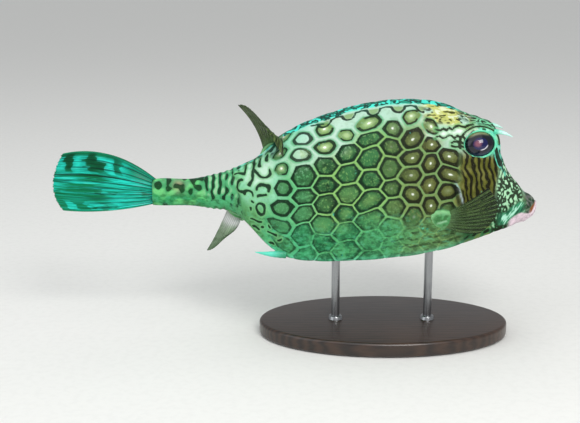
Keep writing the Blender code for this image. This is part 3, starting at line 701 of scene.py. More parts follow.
# where the skin's regions lie: x and z in mm, and shares of the way from the keel up to the crest
regions = {
    "rear": (-66, -56),
    "front": (-12, 22),
    "face": (40, 46),
    "stem": (-96, -88),
    "tailEnd": (-114, -106),
    "low": (0.14, 0.30),
    "crest": (0.885, 0.915),
    "crown": (0.905, 0.950),
    "upperX": (-60, -36, -18, 18, 34),
    "upperShare": (0.56, 0.60, 0.70, 0.72, 0.62),
    "cheekTopX": (46, 56, 63, 70),
    "cheekTopZ": (121, 118, 117, 112),
    "chinX": (72.6, 76, 81, 85, 88),
    "chinZ": (74.3, 77.2, 80.0, 79.8, 78.6),
    "tailSpot": (-127.0, 96.0),
}

# the fields of the worm-like marks: length in mm, spread along x, y and z, seed, and level
wormFields = {
    "shell": (5.6, (1, 0.7, 1), 3, 0.30),
    "stem": (4.1, (1, 0.16, 0.20), 5, 0.42),
    "tailEnd": (5.8, (1, 0.3, 0.75), 7, -0.05),
    "rearBack": (4.8, (1, 0.5, 0.4), 6, 0.30),
    "brow": (3.6, (1, 0.7, 1), 12, 0.45),
    "cheek": (4.4, (1, 0.6, 1), 19, 0.08),
    "throat": (3.2, (0.12, 0.5, 1), 16, 0.45),
    "keel": (3.4, (0.16, 0.5, 1), 17, 0.80),
    "belly": (6, (1, 1, 1), 18, 1.6),
}

# the skin's vertex attributes, with three fields in each
skinFields = {
    "plateGrid": ("column", "row", "inPlates"),
    "worms": ("worms", "level", "wormMask"),
    "plateLook": ("netEdge", "ringInner", "crisp"),
    "extras": ("glow", "ink", "slit"),
    "region": ("lowFlank", "blank", "cheek"),
    "faceMarks": ("noseInk", "jaw", "topInk"),
    "drawn": ("strokes", "scallop", "bridge"),
    "tops": ("crown", "patch", "tailEnd"),
}


def tint(name):
    return linear(palette[name])


def between(a, b, share):
    return a + (b - a) * np.asarray(share)[..., None]


def painted(start, coats):
    # a colour for each place: a first one, and others laid over it by their masks
    colour = tint(start)
    for name, mask in coats:
        colour = between(colour, tint(name), mask)
    return colour


def bodyRegions(points, share, column, row):
    # masks of 0 to 1 over the skin
    at = SimpleNamespace(share=share, column=column, row=row)
    at.x, at.y, at.z = points.T
    x = at.x
    at.drift = drift = waves(points, 30, (1, 1, 1), 51)
    at.flowing = points @ np.array(((0.8, 0, -0.6), (0, 1, 0), (0.6, 0, 0.8)))
    at.rear = fall(x + 3 * drift, *regions["rear"])
    at.front = rise(x + 5 * drift, *regions["front"])
    at.face = rise(x + 2 * drift, *regions["face"])
    at.stem = fall(x, *regions["stem"])
    at.tailEnd = fall(x, *regions["tailEnd"])
    start = np.interp(x, regions["upperX"], regions["upperShare"])
    at.upper = rise(share + 0.02 * drift, start, start + 0.13)
    at.low = fall(share + 0.03 * drift, *regions["low"])
    at.lowFlank = at.low * (1 - at.face)
    at.crest = rise(share + 0.012 * waves(points, 14, (1, 1, 1), 52), *regions["crest"])
    at.crown = rise(share, *regions["crown"]) * fall(x, 38, 44) * rise(x, -66, -58)
    at.alongBack = within(x + drift, -46, 22, 2)
    at.patch = within(x, 21, 49, 3) * within(share, 0.79, 0.94, 0.02)
    at.dashes = fall(share + 0.02 * drift, 0.13, 0.21) * rise(x, -20, 0) * (1 - at.face)
    return at


def plateRegions(at):
    # a plate's own look is set by where its middle lies, so that none changes half way across
    at.plateColumn, at.plateRow = nearestPlate(at.column, at.row)
    at.plateX = at.x + (at.plateColumn - at.column) * body["platePitch"]
    plateShare = at.share + (at.plateRow - at.row) / body["flankRows"]
    start = np.interp(at.plateX, regions["upperX"], regions["upperShare"])
    at.plateUpper = rise(plateShare, start, start + 0.12)
    at.plateFront = rise(at.plateX, -14, 22)
    at.plateLow = fall(plateShare, 0.14, 0.32)
    at.plateRear = fall(at.plateX, -68, -56)


def headRegions(at):
    x, z = at.x, at.z
    cheekTop = np.interp(x, regions["cheekTopX"], regions["cheekTopZ"])
    muzzleEdge = x - 0.10 * (z - 100) + 0.6 * at.drift
    at.cheek = at.face * fall(muzzleEdge, 63.5, 68.5) * fall(z - cheekTop, -2.5, 2.5)
    at.browBand = at.face * rise(z - cheekTop, -2.5, 2.5)
    at.nose = rise(muzzleEdge, 63.0, 67.0) * fall(x, 82, 86)
    at.headTop = at.face * rise(at.share, 0.84, 0.90) * fall(x, 68, 76)
    at.behindEye = within(x, 26, 48, 1.5) * within(z, 122.5, 136, 1.2)
    at.overThroat = z - 0.25 * (x - 60)


def mouthRegions(points, at):
    # the muzzle, the lips and the gill's edge carry no worm-like marks
    x, y, z = points.T
    depth, height = mouthPlane(points)
    at.muzzle = rise(x, 82.5, 86.5) * rise(z, 77, 81)
    overChin = z - np.interp(x, regions["chinX"], regions["chinZ"])
    chin = fall(overChin + 0.4 * waves(at.flowing, 3.0, (0.15, 0.6, 1), 53), -0.8, 0.8) * rise(x, 72, 76)
    at.lip = np.clip(rise(depth, -1.0, -0.5) * rise(x, 86, 87.5) + chin, 0, 1)
    at.jaw = within(x, 67, 85, 2.5) * within(overChin, 0.0, 7.0, 1.2) * (1 - chin) * (1 - at.muzzle)
    crescent = 0.9 + 1.9 * np.sin(np.clip((height - 0.4) / 9.5, 0, 1) * math.pi)
    at.gums = rise(depth, -crescent - 0.3, -crescent + 0.3) * fall(depth, -0.9, -0.4)
    at.gums = at.gums * rise(height, 0.0, 1.2) * rise(x, 85.5, 87) * 0.9
    # the slit between the lips is darkened with painted shade
    mouthSlitShade = bump(mouthGape(points), forms["mouthSlit"][1]) * rise(x, 88.6, 89.6) * fall(abs(y), 4.6, 6.0)
    flap, slit = np.zeros(len(x)), np.zeros(len(x))
    for side in (1, -1):
        ahead, down = gillLine(points, side)
        inside = rise(down, -0.10, 0.15) * fall(down, 0.85, 1.1)
        flap += inside * bump(ahead - 0.6, 0.72 - 0.36 * np.clip(down, 0, 1))
        # painted shade in the groove behind the gill's edge
        slit += inside * bump(ahead + 1.5, 1.1) * 0.9
    at.flap = np.clip(flap, 0, 1)
    at.slit = np.clip(slit + mouthSlitShade, 0, 1)
    at.ink = 1 - np.clip(at.lip + at.gums + 0.6 * at.muzzle + at.flap, 0, 1)
    at.noseInk = at.nose * at.ink * (1 - at.jaw)
    at.topInk = at.headTop * at.ink


def mouthCoats(at):
    return [("muzzle", at.muzzle), ("lipOrange", at.gums), ("lipWhite", at.lip), ("flap", at.flap)]


def groundColour(points, at):
    # the ground of the marks and the network between the plates, with painted shade on the lower rear and a
    # painted highlight along the keel
    x, z, share, drift = at.x, at.z, at.share, at.drift
    alight = rise(waves(points, 19, (1, 1, 1), 57), -0.4, 1.2) * at.rear * rise(share, 0.45, 0.7)
    # darker moss green over the lower rear is painted shade towards the belly
    lowRearShade = fall(share + 0.05 * drift, 0.20, 0.52) * fall(x, -80, -68) * rise(x, -99, -92)
    rearWhite = within(x, -86, -70, 3) * within(share, 0.56, 0.80, 0.06)
    backWhite = within(x, -84, -24, 5) * within(share + 0.02 * drift, 0.62, 0.915, 0.05)
    # a pale line right along the keel's edge is a painted highlight on the ridge
    keelHighlightMask = bump(share, 0.018) * rise(x, -80, -70) * fall(x, 40, 60)
    spotX, spotZ = regions["tailSpot"]
    shell = [
        ("olive", at.front * (1 - at.upper) * 0.85),
        ("mint", fall(x, -52, -36) * 0.8),
        ("cream", at.upper * rise(x, -66, -46)),
        ("paleMint", at.rear * rise(share + 0.06 * drift, 0.2, 0.5) * 0.9),
        ("teal", at.low * (0.75 - 0.4 * at.front)),
        ("turquoise", rise(share, 0.915, 0.94) * (1 - at.face * 0.3)),
        ("turquoise", rise(share, 0.74, 0.86) * fall(x, -52, -40) * 0.25),
        ("cream", alight * 0.6),
        ("white", rearWhite * 0.40),
        ("white", backWhite * 0.16),
        ("moss", lowRearShade * 0.9),
        ("plateBright", at.cups * at.alongBack * 0.8),
    ]
    face = [
        ("cheek", at.cheek * rise(z, 80, 90)),
        ("olive", at.cheek * rise(waves(points, 9, (1, 1, 1), 55), 0.2, 1.4) * 0.6),
        ("snout", at.nose),
        ("throat", at.face * fall(at.overThroat, 78, 86)),
        ("turquoise", at.browBand * rise(x, 50, 56) * 0.8),
        ("cream", within(x, 30, 47, 5) * within(z, 119, 131, 4) * 0.85),
        ("white", within(x, 22, 50, 4) * within(z, 127.5, 134.0, 1.2) * 0.9),
        ("brow", at.headTop * 0.7),
        ("cream", at.patch * 0.7),
        ("yellow", at.patch * rise(waves(points, 13, (1, 1, 1), 54), -1.5, -0.7) * 0.95),
    ]
    stem = [
        ("stem", at.stem * 0.85),
        ("mint", within(x, -110, -88, 5) * 0.55),
        ("stemLight", at.tailEnd * rise(waves(points, 7, (1, 1, 1), 56), 0.0, 1.2) * 0.8),
        ("stemInk", at.tailEnd * rise(waves(points, 5, (1, 1, 1), 60), 0.3, 1.6) * 0.40),
        ("pink", bump(np.hypot(x - spotX, z - spotZ), 3.2) * 0.7),
        ("keelHighlight", keelHighlightMask * 0.5),
    ]
    return painted("leaf", shell + face + stem + mouthCoats(at) + [("jaw", at.jaw * 0.85)])


def plateColour(at):
    return painted("plateGreen", [
        ("plateOlive", at.plateFront * (1 - 0.5 * at.plateLow)),
        ("plateTeal", at.plateLow * (1 - 0.4 * at.plateFront)),
        ("plateMint", at.plateRear),
        ("plateBright", at.plateUpper * (1 - at.plateRear) * (0.9 - 0.3 * at.plateFront)),
        ("noseFill", at.nose),
        *mouthCoats(at),
    ])


def inkColour(at):
    # the colour of rings, lines and worm-like marks
    return painted("inkGreen", [
        ("inkOlive", at.front),
        ("inkDeep", at.crest * (1 - at.face)),
        ("inkBrown", at.cheek),
        ("stemInk", fall(at.x, -116, -108) * (1 - 0.7 * rise(at.z, 95, 98))),
    ])


def plateLook(at):
    # where the network ends and the dark ring begins in a plate, how crisp the plate is, and how much painted
    # highlight it takes
    upper, rear, front, low = at.plateUpper, at.plateRear, at.plateFront, at.plateLow
    column, row = at.plateColumn, at.plateRow
    at.inPlates = (column > 1.5) * (column < 10.5) * (row < 14.5) * (1 - 0.7 * at.dashes) * (1 - at.face)
    at.inPlates = at.inPlates * (1 - at.patch * (row > 13.5)) * (1 - (column > 9.5) * (row > 11.5))
    at.netEdge = 0.915 - 0.145 * upper - 0.12 * rear - 0.02 * front
    at.crisp = np.clip(upper + rear + 0.55 * front * (1 - low), 0, 1)
    widest = np.maximum.reduce([upper, rear * 0.6, front * (1 - low) * 0.6])
    at.ringInner = 0.61 - 0.11 * widest + 0.12 * low
    # the share of painted highlight on the plates: full on the upper flank, less on the front, none low down
    at.glow = np.clip(upper + 0.45 * front, 0, 1) * (1 - low)
    at.blank = upper * within(at.plateX, -58, -16, 4)


def wormMarks(points, at):
    # worm-like marks: dark where the field is over the level
    x, share, drift = at.x, at.share, at.drift

    def field(name, places=points):
        length, spread, seed, _ = wormFields[name]
        return waves(places, length, spread, seed)

    at.worms = field("shell")
    at.level = np.full(len(x), wormFields["shell"][3])

    def mark(name, mask, marks=None, added=0.0):
        # in this region the marks follow another field and level
        marks = field(name) if marks is None else marks
        at.worms = at.worms * (1 - mask) + marks * mask
        at.level = at.level * (1 - mask) + (wormFields[name][3] + added) * mask

    across = points @ np.array((0.98, 0.0, 0.20)) + 0.55 * waves(points, 11, (1, 0.5, 1), 14)
    across = across + 0.22 * waves(points, 5.0, (0.3, 0.3, 1), 15)
    stripes = np.cos(across * (2 * math.pi / 3.4)) * 1.2 + 0.20 * field("cheek")
    besideKeel = np.column_stack([x, at.y * 0.3, share * lines["flankLength"]])
    mark("stem", within(x, -114, -86, 4))
    mark("tailEnd", at.tailEnd, added=1.9 * fall(at.z + 0.8 * drift, 91.5, 95.5))
    mark("rearBack", within(x, -92, -66, 3) * rise(share, 0.76, 0.86))
    mark("brow", at.browBand)
    mark("cheek", at.cheek, stripes)
    mark("throat", at.face * fall(at.overThroat, 76, 84), field("throat", at.flowing))
    mark("keel", at.dashes, field("keel", besideKeel))
    mark("belly", fall(share, -0.03, 0.04))

    plain = within(x + 1.5 * drift, -87, -56, 2) * fall(share, 0.76, 0.86)
    at.wormMask = np.clip(fall(x, -66, -60) + at.face + at.patch, 0, 1) * (1 - at.crown)
    at.wormMask = np.maximum(at.wormMask, at.dashes * 0.6)
    for bare in (plain, at.behindEye, at.headTop, at.nose, at.patch, at.jaw):
        at.wormMask = at.wormMask * (1 - bare)


def drawnLines(points, at):
    # distances in mm from the lines drawn on the flanks and the head
    x, y, z = points.T
    far = lines["farAway"]
    swayX, swayZ = (0.5 * waves(points, 8, (1, 1, 1), seed) for seed in (58, 59))
    strokes = lineDistance(x + swayX, z + swayZ, loopPaths() + list(lines["dashes"]))
    strokes = strokes + far * (at.share < 0.02) + far * (abs(y) < 2) * (x > -60)
    for side in (1, -1):
        # a dark line over the eye, outside its raised rim
        _, _, local, oval = besideEye(points, side)
        arch = np.abs(oval - 1.30) * 8.7 + far * (local[:, 2] < -2.0) + far * (y * side < 1)
        strokes = np.minimum(strokes, arch)
    brow = 0.12 + lineDistance(x, z, lines["brow"]) + far * (abs(y) < 8)
    at.strokes = np.minimum(strokes, brow)
    at.bridge = lineDistance(x + 0.6 * swayX, z, lines["nose"]) + 0.9 * np.maximum(0, 10.5 - abs(y))
    at.scallop = np.where(at.alongBack > 0.5, at.scallop, far)


def skinMarks(points, share, column, row):
    # the colours of each place, and the fields whose level lines draw its marks
    at = bodyRegions(points, share, column, row)
    plateRegions(at)
    headRegions(at)
    mouthRegions(points, at)
    at.scallop, at.cups = scallops(at.x, share)
    plateLook(at)
    wormMarks(points, at)
    drawnLines(points, at)
    marks = {}
    for name, fields in skinFields.items():
        marks[name] = ("FLOAT_VECTOR", np.column_stack([getattr(at, field) for field in fields]))
    tints = {"paleTint": groundColour(points, at), "fillTint": plateColour(at), "darkTint": inkColour(at)}
    for name, colour in tints.items():
        marks[name] = ("FLOAT_COLOR", np.column_stack([colour, np.ones(len(share))]))
    return marks


# the skin's noises: scale, detail, roughness, and a stretch along x, y and z
skinNoises = {
    "fine": (620, 4, 0.6, None),
    "mid": (230, 3, 0.55, None),
    "broad": (90, 3, 0.5, None),
    "drops": (250, 1.0, 0.45, None),
    "blobs": (300, 1.0, 0.4, None),
    "threads": (330, 1.0, 0.4, (0.6, 1.0, 1.0)),
    "ticks": (560, 1.0, 0.5, (0.34, 0.8, 1.0)),
    "grains": (470, 2.0, 0.55, (0.60, 0.8, 1.0)),
    "specks": (1300, 2, 0.55, None),
    "blush": (420, 3, 0.6, None),
}


def readSkin(m):
    # the attributes' fields and the noises, each by its name
    at = SimpleNamespace()
    for name, fields in skinFields.items():
        for field, value in zip(fields, m.parts(m.attribute(name, "Vector"))):
            setattr(at, field, value)
    at.pale, at.fill, at.dark = (m.attribute(name, "Color") for name in ("paleTint", "fillTint", "darkTint"))
    at.place = m.place()
    for name, (scale, detail, rough, stretch) in skinNoises.items():
        source = m.stretched(at.place, stretch) if stretch else at.place
        setattr(at, name, m.noise(source, scale, detail, rough))
    return at


def plateCell(m, at):
    # place within the nearest plate of the two interleaved sets, and the plate's own chances
    column = at.column + (at.mid - 0.5) * 0.10
    row = at.row + (at.broad - 0.5) * 0.30
    sets = []
    for shift in (0.0, 1.0):
        dx, dy = (m.maths("WRAP", v + shift, 1.0, -1.0) for v in (column, row))
        sets.append((dx, dy, m.larger(abs(dy), abs(dx) * 1.5 + abs(dy) * 0.5)))
    (ax, ay, flatA), (bx, by, flatB) = sets
    second = m.maths("LESS_THAN", flatB, flatA)
    dx, dy = ax + (bx - ax) * second, ay + (by - ay) * second
    plate = m.joined(column - dx, row - dy)
    chance = m.node("ShaderNodeTexWhiteNoise", {"noise_dimensions": "3D"}, {"Vector": plate}, 1)
    at.chance1, at.chance2, at.chance3 = m.parts(chance)
    radius = m.maths("SQRT", dx * dx * 3.4 + dy * dy)
    at.angle = m.maths("ARCTAN2", dy, dx * 1.6)
    at.edge = m.smaller(flatA, flatB)
    at.soft = at.edge * 0.45 + radius * 0.55
    at.outline = at.edge * (1 - at.crisp * 0.45) + radius * (at.crisp * 0.45) + (at.mid - 0.5) * 0.10
    at.plateEdge = at.netEdge + (at.chance1 - 0.5) * 0.05 * (1 + at.crisp)
    at.faded = m.rise(at.broad, 0.50, 0.62) * at.lowFlank * 0.7


def plateInside(m, at):
    # mottled fill, light middle, a painted highlight over the middle of the upper and front plates, dark ring
    # and a painted highlight dot; some upper plates are empty
    mottle = m.rise(at.mid, 0.36, 0.70) * (0.62 - at.crisp * 0.25) + (at.chance2 - 0.5) * 0.50
    middle = m.fall(at.soft, 0.15, 0.62) * m.rise(at.chance1, 0.35, 0.90)
    empty = m.rise(at.chance2, 0.50, 0.54) * at.blank
    ringStart = at.ringInner + empty * 0.03 + (at.chance3 - 0.5) * 0.12 + (at.fine - 0.5) * 0.10
    ring = m.rise(at.soft - ringStart, -0.02, 0.05 + (1 - at.crisp) * 0.12)
    opening = m.rise(m.maths("COSINE", at.angle - at.chance2 * 6.28), 0.72, 0.86)
    opening = opening * m.rise(at.chance3, 0.60, 0.66) * at.crisp
    # a white dot in the middle of the upper and front plates is a painted highlight
    glint = m.fall(at.soft + (at.fine - 0.5) * 0.14, 0.07, 0.16)
    glint = glint * m.rise(at.glow, 0.1, 0.5) * m.rise(at.chance1, 0.15, 0.4)
    return m.coats(at.fill, (
        (at.dark, mottle),
        (at.pale, m.rise(at.chance3, 0.55, 1.0) * 0.22 * (1 - at.crisp)),
        (at.pale, m.rise(at.broad, 0.46, 0.60) * at.lowFlank * 0.5),
        (at.pale, m.rise(at.fine, 0.52, 0.66) * 0.55 * (1 - at.crisp * 0.5)),
        (at.pale, middle * (1 - at.crisp) * 0.30),
        ("plateHighlight", m.fall(at.soft, 0.10, 0.50) * at.glow * at.glow * 0.50),
        (at.pale, empty * 0.9),
        (at.dark, ring * (1 - opening) * (1 - at.faded) * (0.94 - at.lowFlank * 0.30)),
        ("plateGlint", glint * 0.9 * (1 - empty)),
    ))


def plateNetwork(m, at):
    # brightest along its middle, green beside crisp plates and partly lost on the lower flank
    line = m.rise(at.edge, at.netEdge - 0.03, 0.985)
    halo = m.fall(at.outline - at.plateEdge + (at.fine - 0.5) * 0.10, 0.02, 0.25) * at.crisp * at.inPlates
    shade = m.rise(at.mid, 0.50, 0.72) * 0.34 + m.rise(at.broad, 0.50, 0.68) * 0.26
    return m.coats(m.blend(at.fill, at.pale, 0.62), (
        (at.pale, m.larger(line, at.crisp)),
        (at.fill, at.faded * (1 - line) * 0.8),
        ("plateHalo", halo * 0.78),
        (m.blend(at.fill, at.pale, 0.4), shade),
    ))


def crestDrops(m, at):
    # bright drops with dark edges
    return m.coats("drop", (
        ("dropShade", m.rise(at.drops, 0.50, 0.56) * 0.85),
        ("dropEdge", m.fall(abs(at.drops - 0.5), 0.045, 0.085) * 0.95),
    ))


def wormCoats(m, at):
    # dark worms with a dim edge, and light between them
    field = at.worms + (at.fine - 0.5) * 0.5 + (at.mid - 0.5) * 0.5
    shown = at.wormMask * at.ink
    worm = m.rise(field, at.level - 0.20, at.level + 0.20)
    halo = m.rise(field, at.level - 1.1, at.level - 0.1) * (1 - worm)
    core = m.fall(field, at.level - 1.7, at.level - 0.8) * shown
    elsewhere = (1 - at.cheek) * (1 - at.tailEnd * 0.85) * (1 - at.lowFlank)
    return (
        (m.blend(at.pale, at.dark, 0.42), halo * shown * 0.60),
        ("wormLight", core * 0.32 * elsewhere),
        ("cheekLight", core * 0.40 * at.cheek),
        (at.dark, worm * shown * 0.95),
    )


def fineCoats(m, at):
    # finer marks: light blobs outlined in dark on the nose, light threads over the brow, dashes on
    # the yellow patch, grains on the lower flank and streaks along the jaw
    blobs, threads = abs(at.blobs - 0.5), abs(at.threads - 0.5)
    x, y, z = m.parts(at.place)
    alongJaw = m.joined(x * 0.82 - z * 0.58, y * 0.4, x * 0.10 + z * 0.15)
    streaks = m.noise(alongJaw, 560, 2.0, 0.5)
    return (
        ("blobLight", m.rise(blobs, 0.13, 0.22) * at.noseInk * 0.5),
        (at.dark, m.fall(blobs, 0.080, 0.140) * at.noseInk * 0.94),
        (at.dark, at.topInk * 0.95),
        (at.pale, m.fall(threads, 0.030, 0.075) * at.topInk * 0.90),
        ("tickLight", m.fall(at.ticks, 0.34, 0.44) * at.patch * 0.6),
        (at.dark, m.rise(at.ticks, 0.555, 0.605) * at.patch * 0.90),
        (at.dark, m.rise(at.grains, 0.52, 0.62) * at.lowFlank * 0.42),
        ("grainLight", m.fall(at.grains, 0.37, 0.46) * at.lowFlank * 0.22),
        ("jawInk", m.rise(streaks, 0.46, 0.56) * at.jaw * 0.85),
        ("jawLight", m.fall(streaks, 0.36, 0.46) * at.jaw * 0.80),
    )


def drawnCoats(m, at):
    # the drawn lines, each with a green or turquoise edge, and painted shade in the slits of the mouth and
    # the gills
    shake = (at.fine - 0.5) * 0.8 + (at.mid - 0.5) * 1.5
    near = m.smaller(m.smaller(at.strokes, at.scallop), at.bridge - 0.35)
    return (
        ("strokeEdge", m.fall(at.strokes, 0.8, 2.3) * 0.65 * at.ink),
        ("bridgeEdge", m.fall(at.bridge + shake, 1.3, 2.0) * 0.9),
        (at.dark, m.fall(near + shake * 0.7, 0.55, 0.98) * 0.96),
        ("slit", at.slit * 0.9),
    )


def lastCoats(m, at):
    # pale specks, a darker grain, and blotches on the lips
    return (
        ("speck", m.rise(at.specks, 0.60, 0.72) * 0.05),
        (at.dark, m.rise(at.fine, 0.52, 0.78) * 0.25 * at.ink),
        ("blush", m.rise(at.blush, 0.44, 0.64) * (1 - at.ink) * 0.55),
    )


def skinFinish():
    m = Finish("cowfish_skin", palette)
    at = readSkin(m)
    plateCell(m, at)
    inside = m.fall(at.outline - at.plateEdge, -0.030, 0.030) * at.inPlates
    crest = m.rise(at.crown + (at.mid - 0.5) * 1.4 + (at.broad - 0.5) * 1.6, 0.40, 0.60)
    colour = m.blend(plateNetwork(m, at), plateInside(m, at), inside)
    colour = m.blend(colour, crestDrops(m, at), crest)
    for coats in (wormCoats, fineCoats, drawnCoats, lastCoats):
        colour = m.coats(colour, coats(m, at))
    pores = m.node("ShaderNodeTexVoronoi", {}, {"Vector": at.place, "Scale": 850})
    seam = m.rise(at.edge, at.netEdge - 0.05, 1.0) * at.inPlates
    height = pores * 0.35 + at.fine * 0.5 + seam * 0.35 + at.mid * 0.4
    rough = 0.40 + at.fine * 0.22 + at.cheek * 0.04
    return m.finish(Base_Color=colour, Roughness=rough, Normal=m.relief(height, 0.5, 0.0006),
                    Specular_IOR_Level=0.14)


def buildSkin():
    rings = bodyRings()
    bm = bmesh.new()
    ringCount, around = rings.shape[:2]
    bmesh.ops.create_grid(bm, x_segments=ringCount - 1, y_segments=around - 1, size=0.5)
    grid = coordsOf(bm)
    i = np.rint((grid[:, 0] + 0.5) * (ringCount - 1)).astype(int)
    j = np.rint((grid[:, 1] + 0.5) * (around - 1)).astype(int)
    points, share, column, row = skinShape(rings)
    marks = skinMarks(rings.reshape(-1, 3), share, column, row)
    order = i * around + j
    placeAll(bm, points[order] * mm)
    # the belly's seam is welded and both ends closed; the first copy of each seam vertex stays
    layer = bm.verts.layers.int.new("source")
    for v, source in zip(bm.verts, order):
        v[layer] = int(source)
    bmesh.ops.remove_doubles(bm, verts=bm.verts, dist=1e-7)
    ends = [e for e in bm.edges if e.is_boundary]
    bmesh.ops.holes_fill(bm, edges=ends, sides=0)
    bmesh.ops.recalc_face_normals(bm, faces=bm.faces)
    bmesh.ops.triangulate(bm, faces=[f for f in bm.faces if len(f.verts) > 4])
    bm.verts.ensure_lookup_table()
    source = np.array([v[layer] for v in bm.verts])
    marks = {name: (kind, values[source]) for name, (kind, values) in marks.items()}
    bm.verts.layers.int.remove(layer)
    nodes = ("head", "trunk", "tail_stem", "lips")
    skin = finishPiece(bm, "cowfish_skin", skinFinish(), nodes, marks)
    print("skin:", len(skin.data.polygons), "faces")


buildSkin()


# eyes, each with its raised rim

eye = {
    "pupil": 0.42,
    "rimProfile": 0.08,
}

eyeColours = {
    "iris": (8, 14, 25), "irisEdge": (36, 52, 76), "irisYellow": (138, 146, 104), "irisRing": (13, 18, 29),
    # the second and third colours on this line are a painted reflection in the pupil and a painted highlight
    # on the lens
    "pupil": (14, 20, 72), "pupilReflection": (146, 92, 104), "lensGlint": (231, 229, 239), "edge": (10, 13, 18),
    "rim": (96, 214, 168), "rimBand": (24, 92, 70), "rimSpeck": (190, 246, 220),
}


def eyeFinish():
    m = Finish("eye_glossy", eyeColours)
    x, _, z = m.parts(m.attribute("eyeLocal", "Vector"))
    radius = m.length(x, z)
    turn = m.maths("ARCTAN2", z, x)
    streaks = m.noise(m.joined(turn * 4.0, radius * 1.6), 3.2, 4)
    foot = m.rise(-1.0 * z, 0.30, 0.75) * m.rise(radius, 0.5, 0.8)
    arc = m.rise(z, 0.42, 0.70) * m.rise(radius, 0.55, 0.78)
    iris = m.coats("iris", (
        ("irisEdge", foot * 0.8 + (streaks - 0.45) * 0.5),
        ("irisYellow", arc * 0.75),
        ("irisRing", m.fall(abs(radius - eye["pupil"] - 0.06), 0.02, 0.10) * 0.85),
    ))
    cloud = m.noise(m.place(), 330, 2)
    # a painted reflection of light in the pupil, and a painted highlight in an arc at the pupil's lower right
    glow = m.fall(m.length(x + 0.14, z - 0.02) + (cloud - 0.5) * 0.22, 0.05, 0.30) * 0.75
    lensGlint = m.fall(abs(radius - 0.43), 0.01, 0.05) * m.rise(m.maths("COSINE", turn + 1.0), 0.72, 0.92)
    colour = m.coats(m.blend("pupil", "pupilReflection", glow), (
        (iris, m.rise(radius, eye["pupil"] - 0.02, eye["pupil"] + 0.02)),
        ("lensGlint", lensGlint * 0.8),
        ("edge", m.rise(radius, 0.86, 0.93)),
    ))
    return m.finish(Base_Color=colour, Roughness=0.10 + streaks * 0.06, Coat_Weight=0.55,
                    Coat_Roughness=0.02, Specular_IOR_Level=0.25, Normal=m.relief(streaks, 0.05, 0.0003))


def rimFinish():
    m = Finish("eye_rim_skin", eyeColours)
    place = m.place()
    fine = m.noise(place, 900, 3)
    band = m.noise(place, 240, 2)
    colour = m.coats("rim", (
        ("rimBand", m.rise(band, 0.52, 0.62) * 0.75),
        ("rimSpeck", m.rise(fine, 0.58, 0.7) * 0.5),
    ))
    return m.finish(Base_Color=colour, Roughness=0.32 + fine * 0.2, Normal=m.relief(fine, 0.3, 0.0004),
                    Coat_Weight=0.15)


def buildEyeball(side, label, material):
    turn = eyeTurn(side)
    centre = Vector(sided(head["eyeCentre"], side))
    bm = bmesh.new()
    bmesh.ops.create_uvsphere(bm, u_segments=96, v_segments=64, radius=1)
    bmesh.ops.rotate(bm, cent=(0, 0, 0), matrix=Matrix.Rotation(math.radians(90), 3, "X"), verts=bm.verts)
    local = coordsOf(bm)
    # the lens stands a little proud of the ball
    lens = 1 + 0.05 * bump(np.hypot(local[:, 0], local[:, 2]), 0.42) * (local[:, 1] * side > 0)
    shaped = local * lens[:, None] * np.array(head["eyeRadii"])
    placeAll(bm, [(centre + turn @ Vector(p)) * mm for p in shaped])
    finishPiece(bm, f"eyeball_{label}", material, (f"eye_{label}",),
                {"eyeLocal": ("FLOAT_VECTOR", local)})


def buildEyeRim(side, label, material):
    turn = eyeTurn(side)
    bm = bmesh.new()
    bmesh.ops.create_circle(bm, cap_ends=False, segments=16, radius=eye["rimProfile"])
    bmesh.ops.translate(bm, verts=bm.verts, vec=(1, 0, 0))
    bmesh.ops.spin(bm, geom=bm.verts[:] + bm.edges[:], cent=(0, 0, 0), axis=(0, 1, 0), dvec=(0, 0, 0),
                   angle=2 * math.pi, steps=96, use_merge=True, use_normal_flip=False, use_duplicate=False)
    bmesh.ops.remove_doubles(bm, verts=bm.verts, dist=1e-6)
    rim = Vector(sided(head["eyeCentre"], side)) + turn @ Vector((0, side * head["rimOut"], 0))
    # the profile circle lies in XY, so its Y stands for the rim's depth
    wide, high = head["rimRadii"]
    placeAll(bm, [(rim + turn @ Vector(p)) * mm for p in coordsOf(bm) * (wide, wide, high)])
    bmesh.ops.recalc_face_normals(bm, faces=bm.faces)
    finishPiece(bm, f"eye_rim_{label}", material, ())


def buildEyes():
    glossy, rimSkin = eyeFinish(), rimFinish()
    for side, label in ((-1, "right"), (1, "left")):
        buildEyeball(side, label, glossy)
        buildEyeRim(side, label, rimSkin)
    print("eyes done")


buildEyes()


# horns over the eyes and the spines that end the keels

spikes = {
    "hornRadius": 1.65,
    "hornDroop": 0.8,
    "hornRoot": 0.25,
    "hornColours": {"root": (70, 200, 160), "tip": (196, 250, 236), "mottle": (30, 110, 88)},
    "spineRoot": (-61.0, 28.6, 59.4),
    "spineTip": (-79.6, 29.4, 61.0),
    "spineRadius": 2.4,
    "spineDroop": -0.5,
    "spineColours": {"root": (40, 150, 108), "tip": (86, 214, 186), "mottle": (30, 110, 88)},
    "tipRadius": 0.16,
    "taper": 1.4,
    "ripple": (0.03, 40),  # size as a share of the radius, and rate along the spike
    "segments": 24,
    "rings": 30,
}


def spikeFinish(name, colours):
    m = Finish(name, colours)
    place = m.place()
    along = m.attribute("along")
    fine = m.noise(place, 700, 3)
    rings = m.node("ShaderNodeTexWave", {"bands_direction": "X"},
                   {"Vector": place, "Scale": 260.0, "Distortion": 3.0})
    colour = m.coats("root", (
        ("tip", m.rise(along, 0.05, 0.55)),
        ("mottle", m.rise(fine, 0.55, 0.72) * 0.35),
    ))
    return m.finish(Base_Color=colour, Roughness=0.28 + fine * 0.2, Coat_Weight=0.2,
                    Normal=m.relief(rings * 0.4 + fine * 0.6, 0.25, 0.0004))


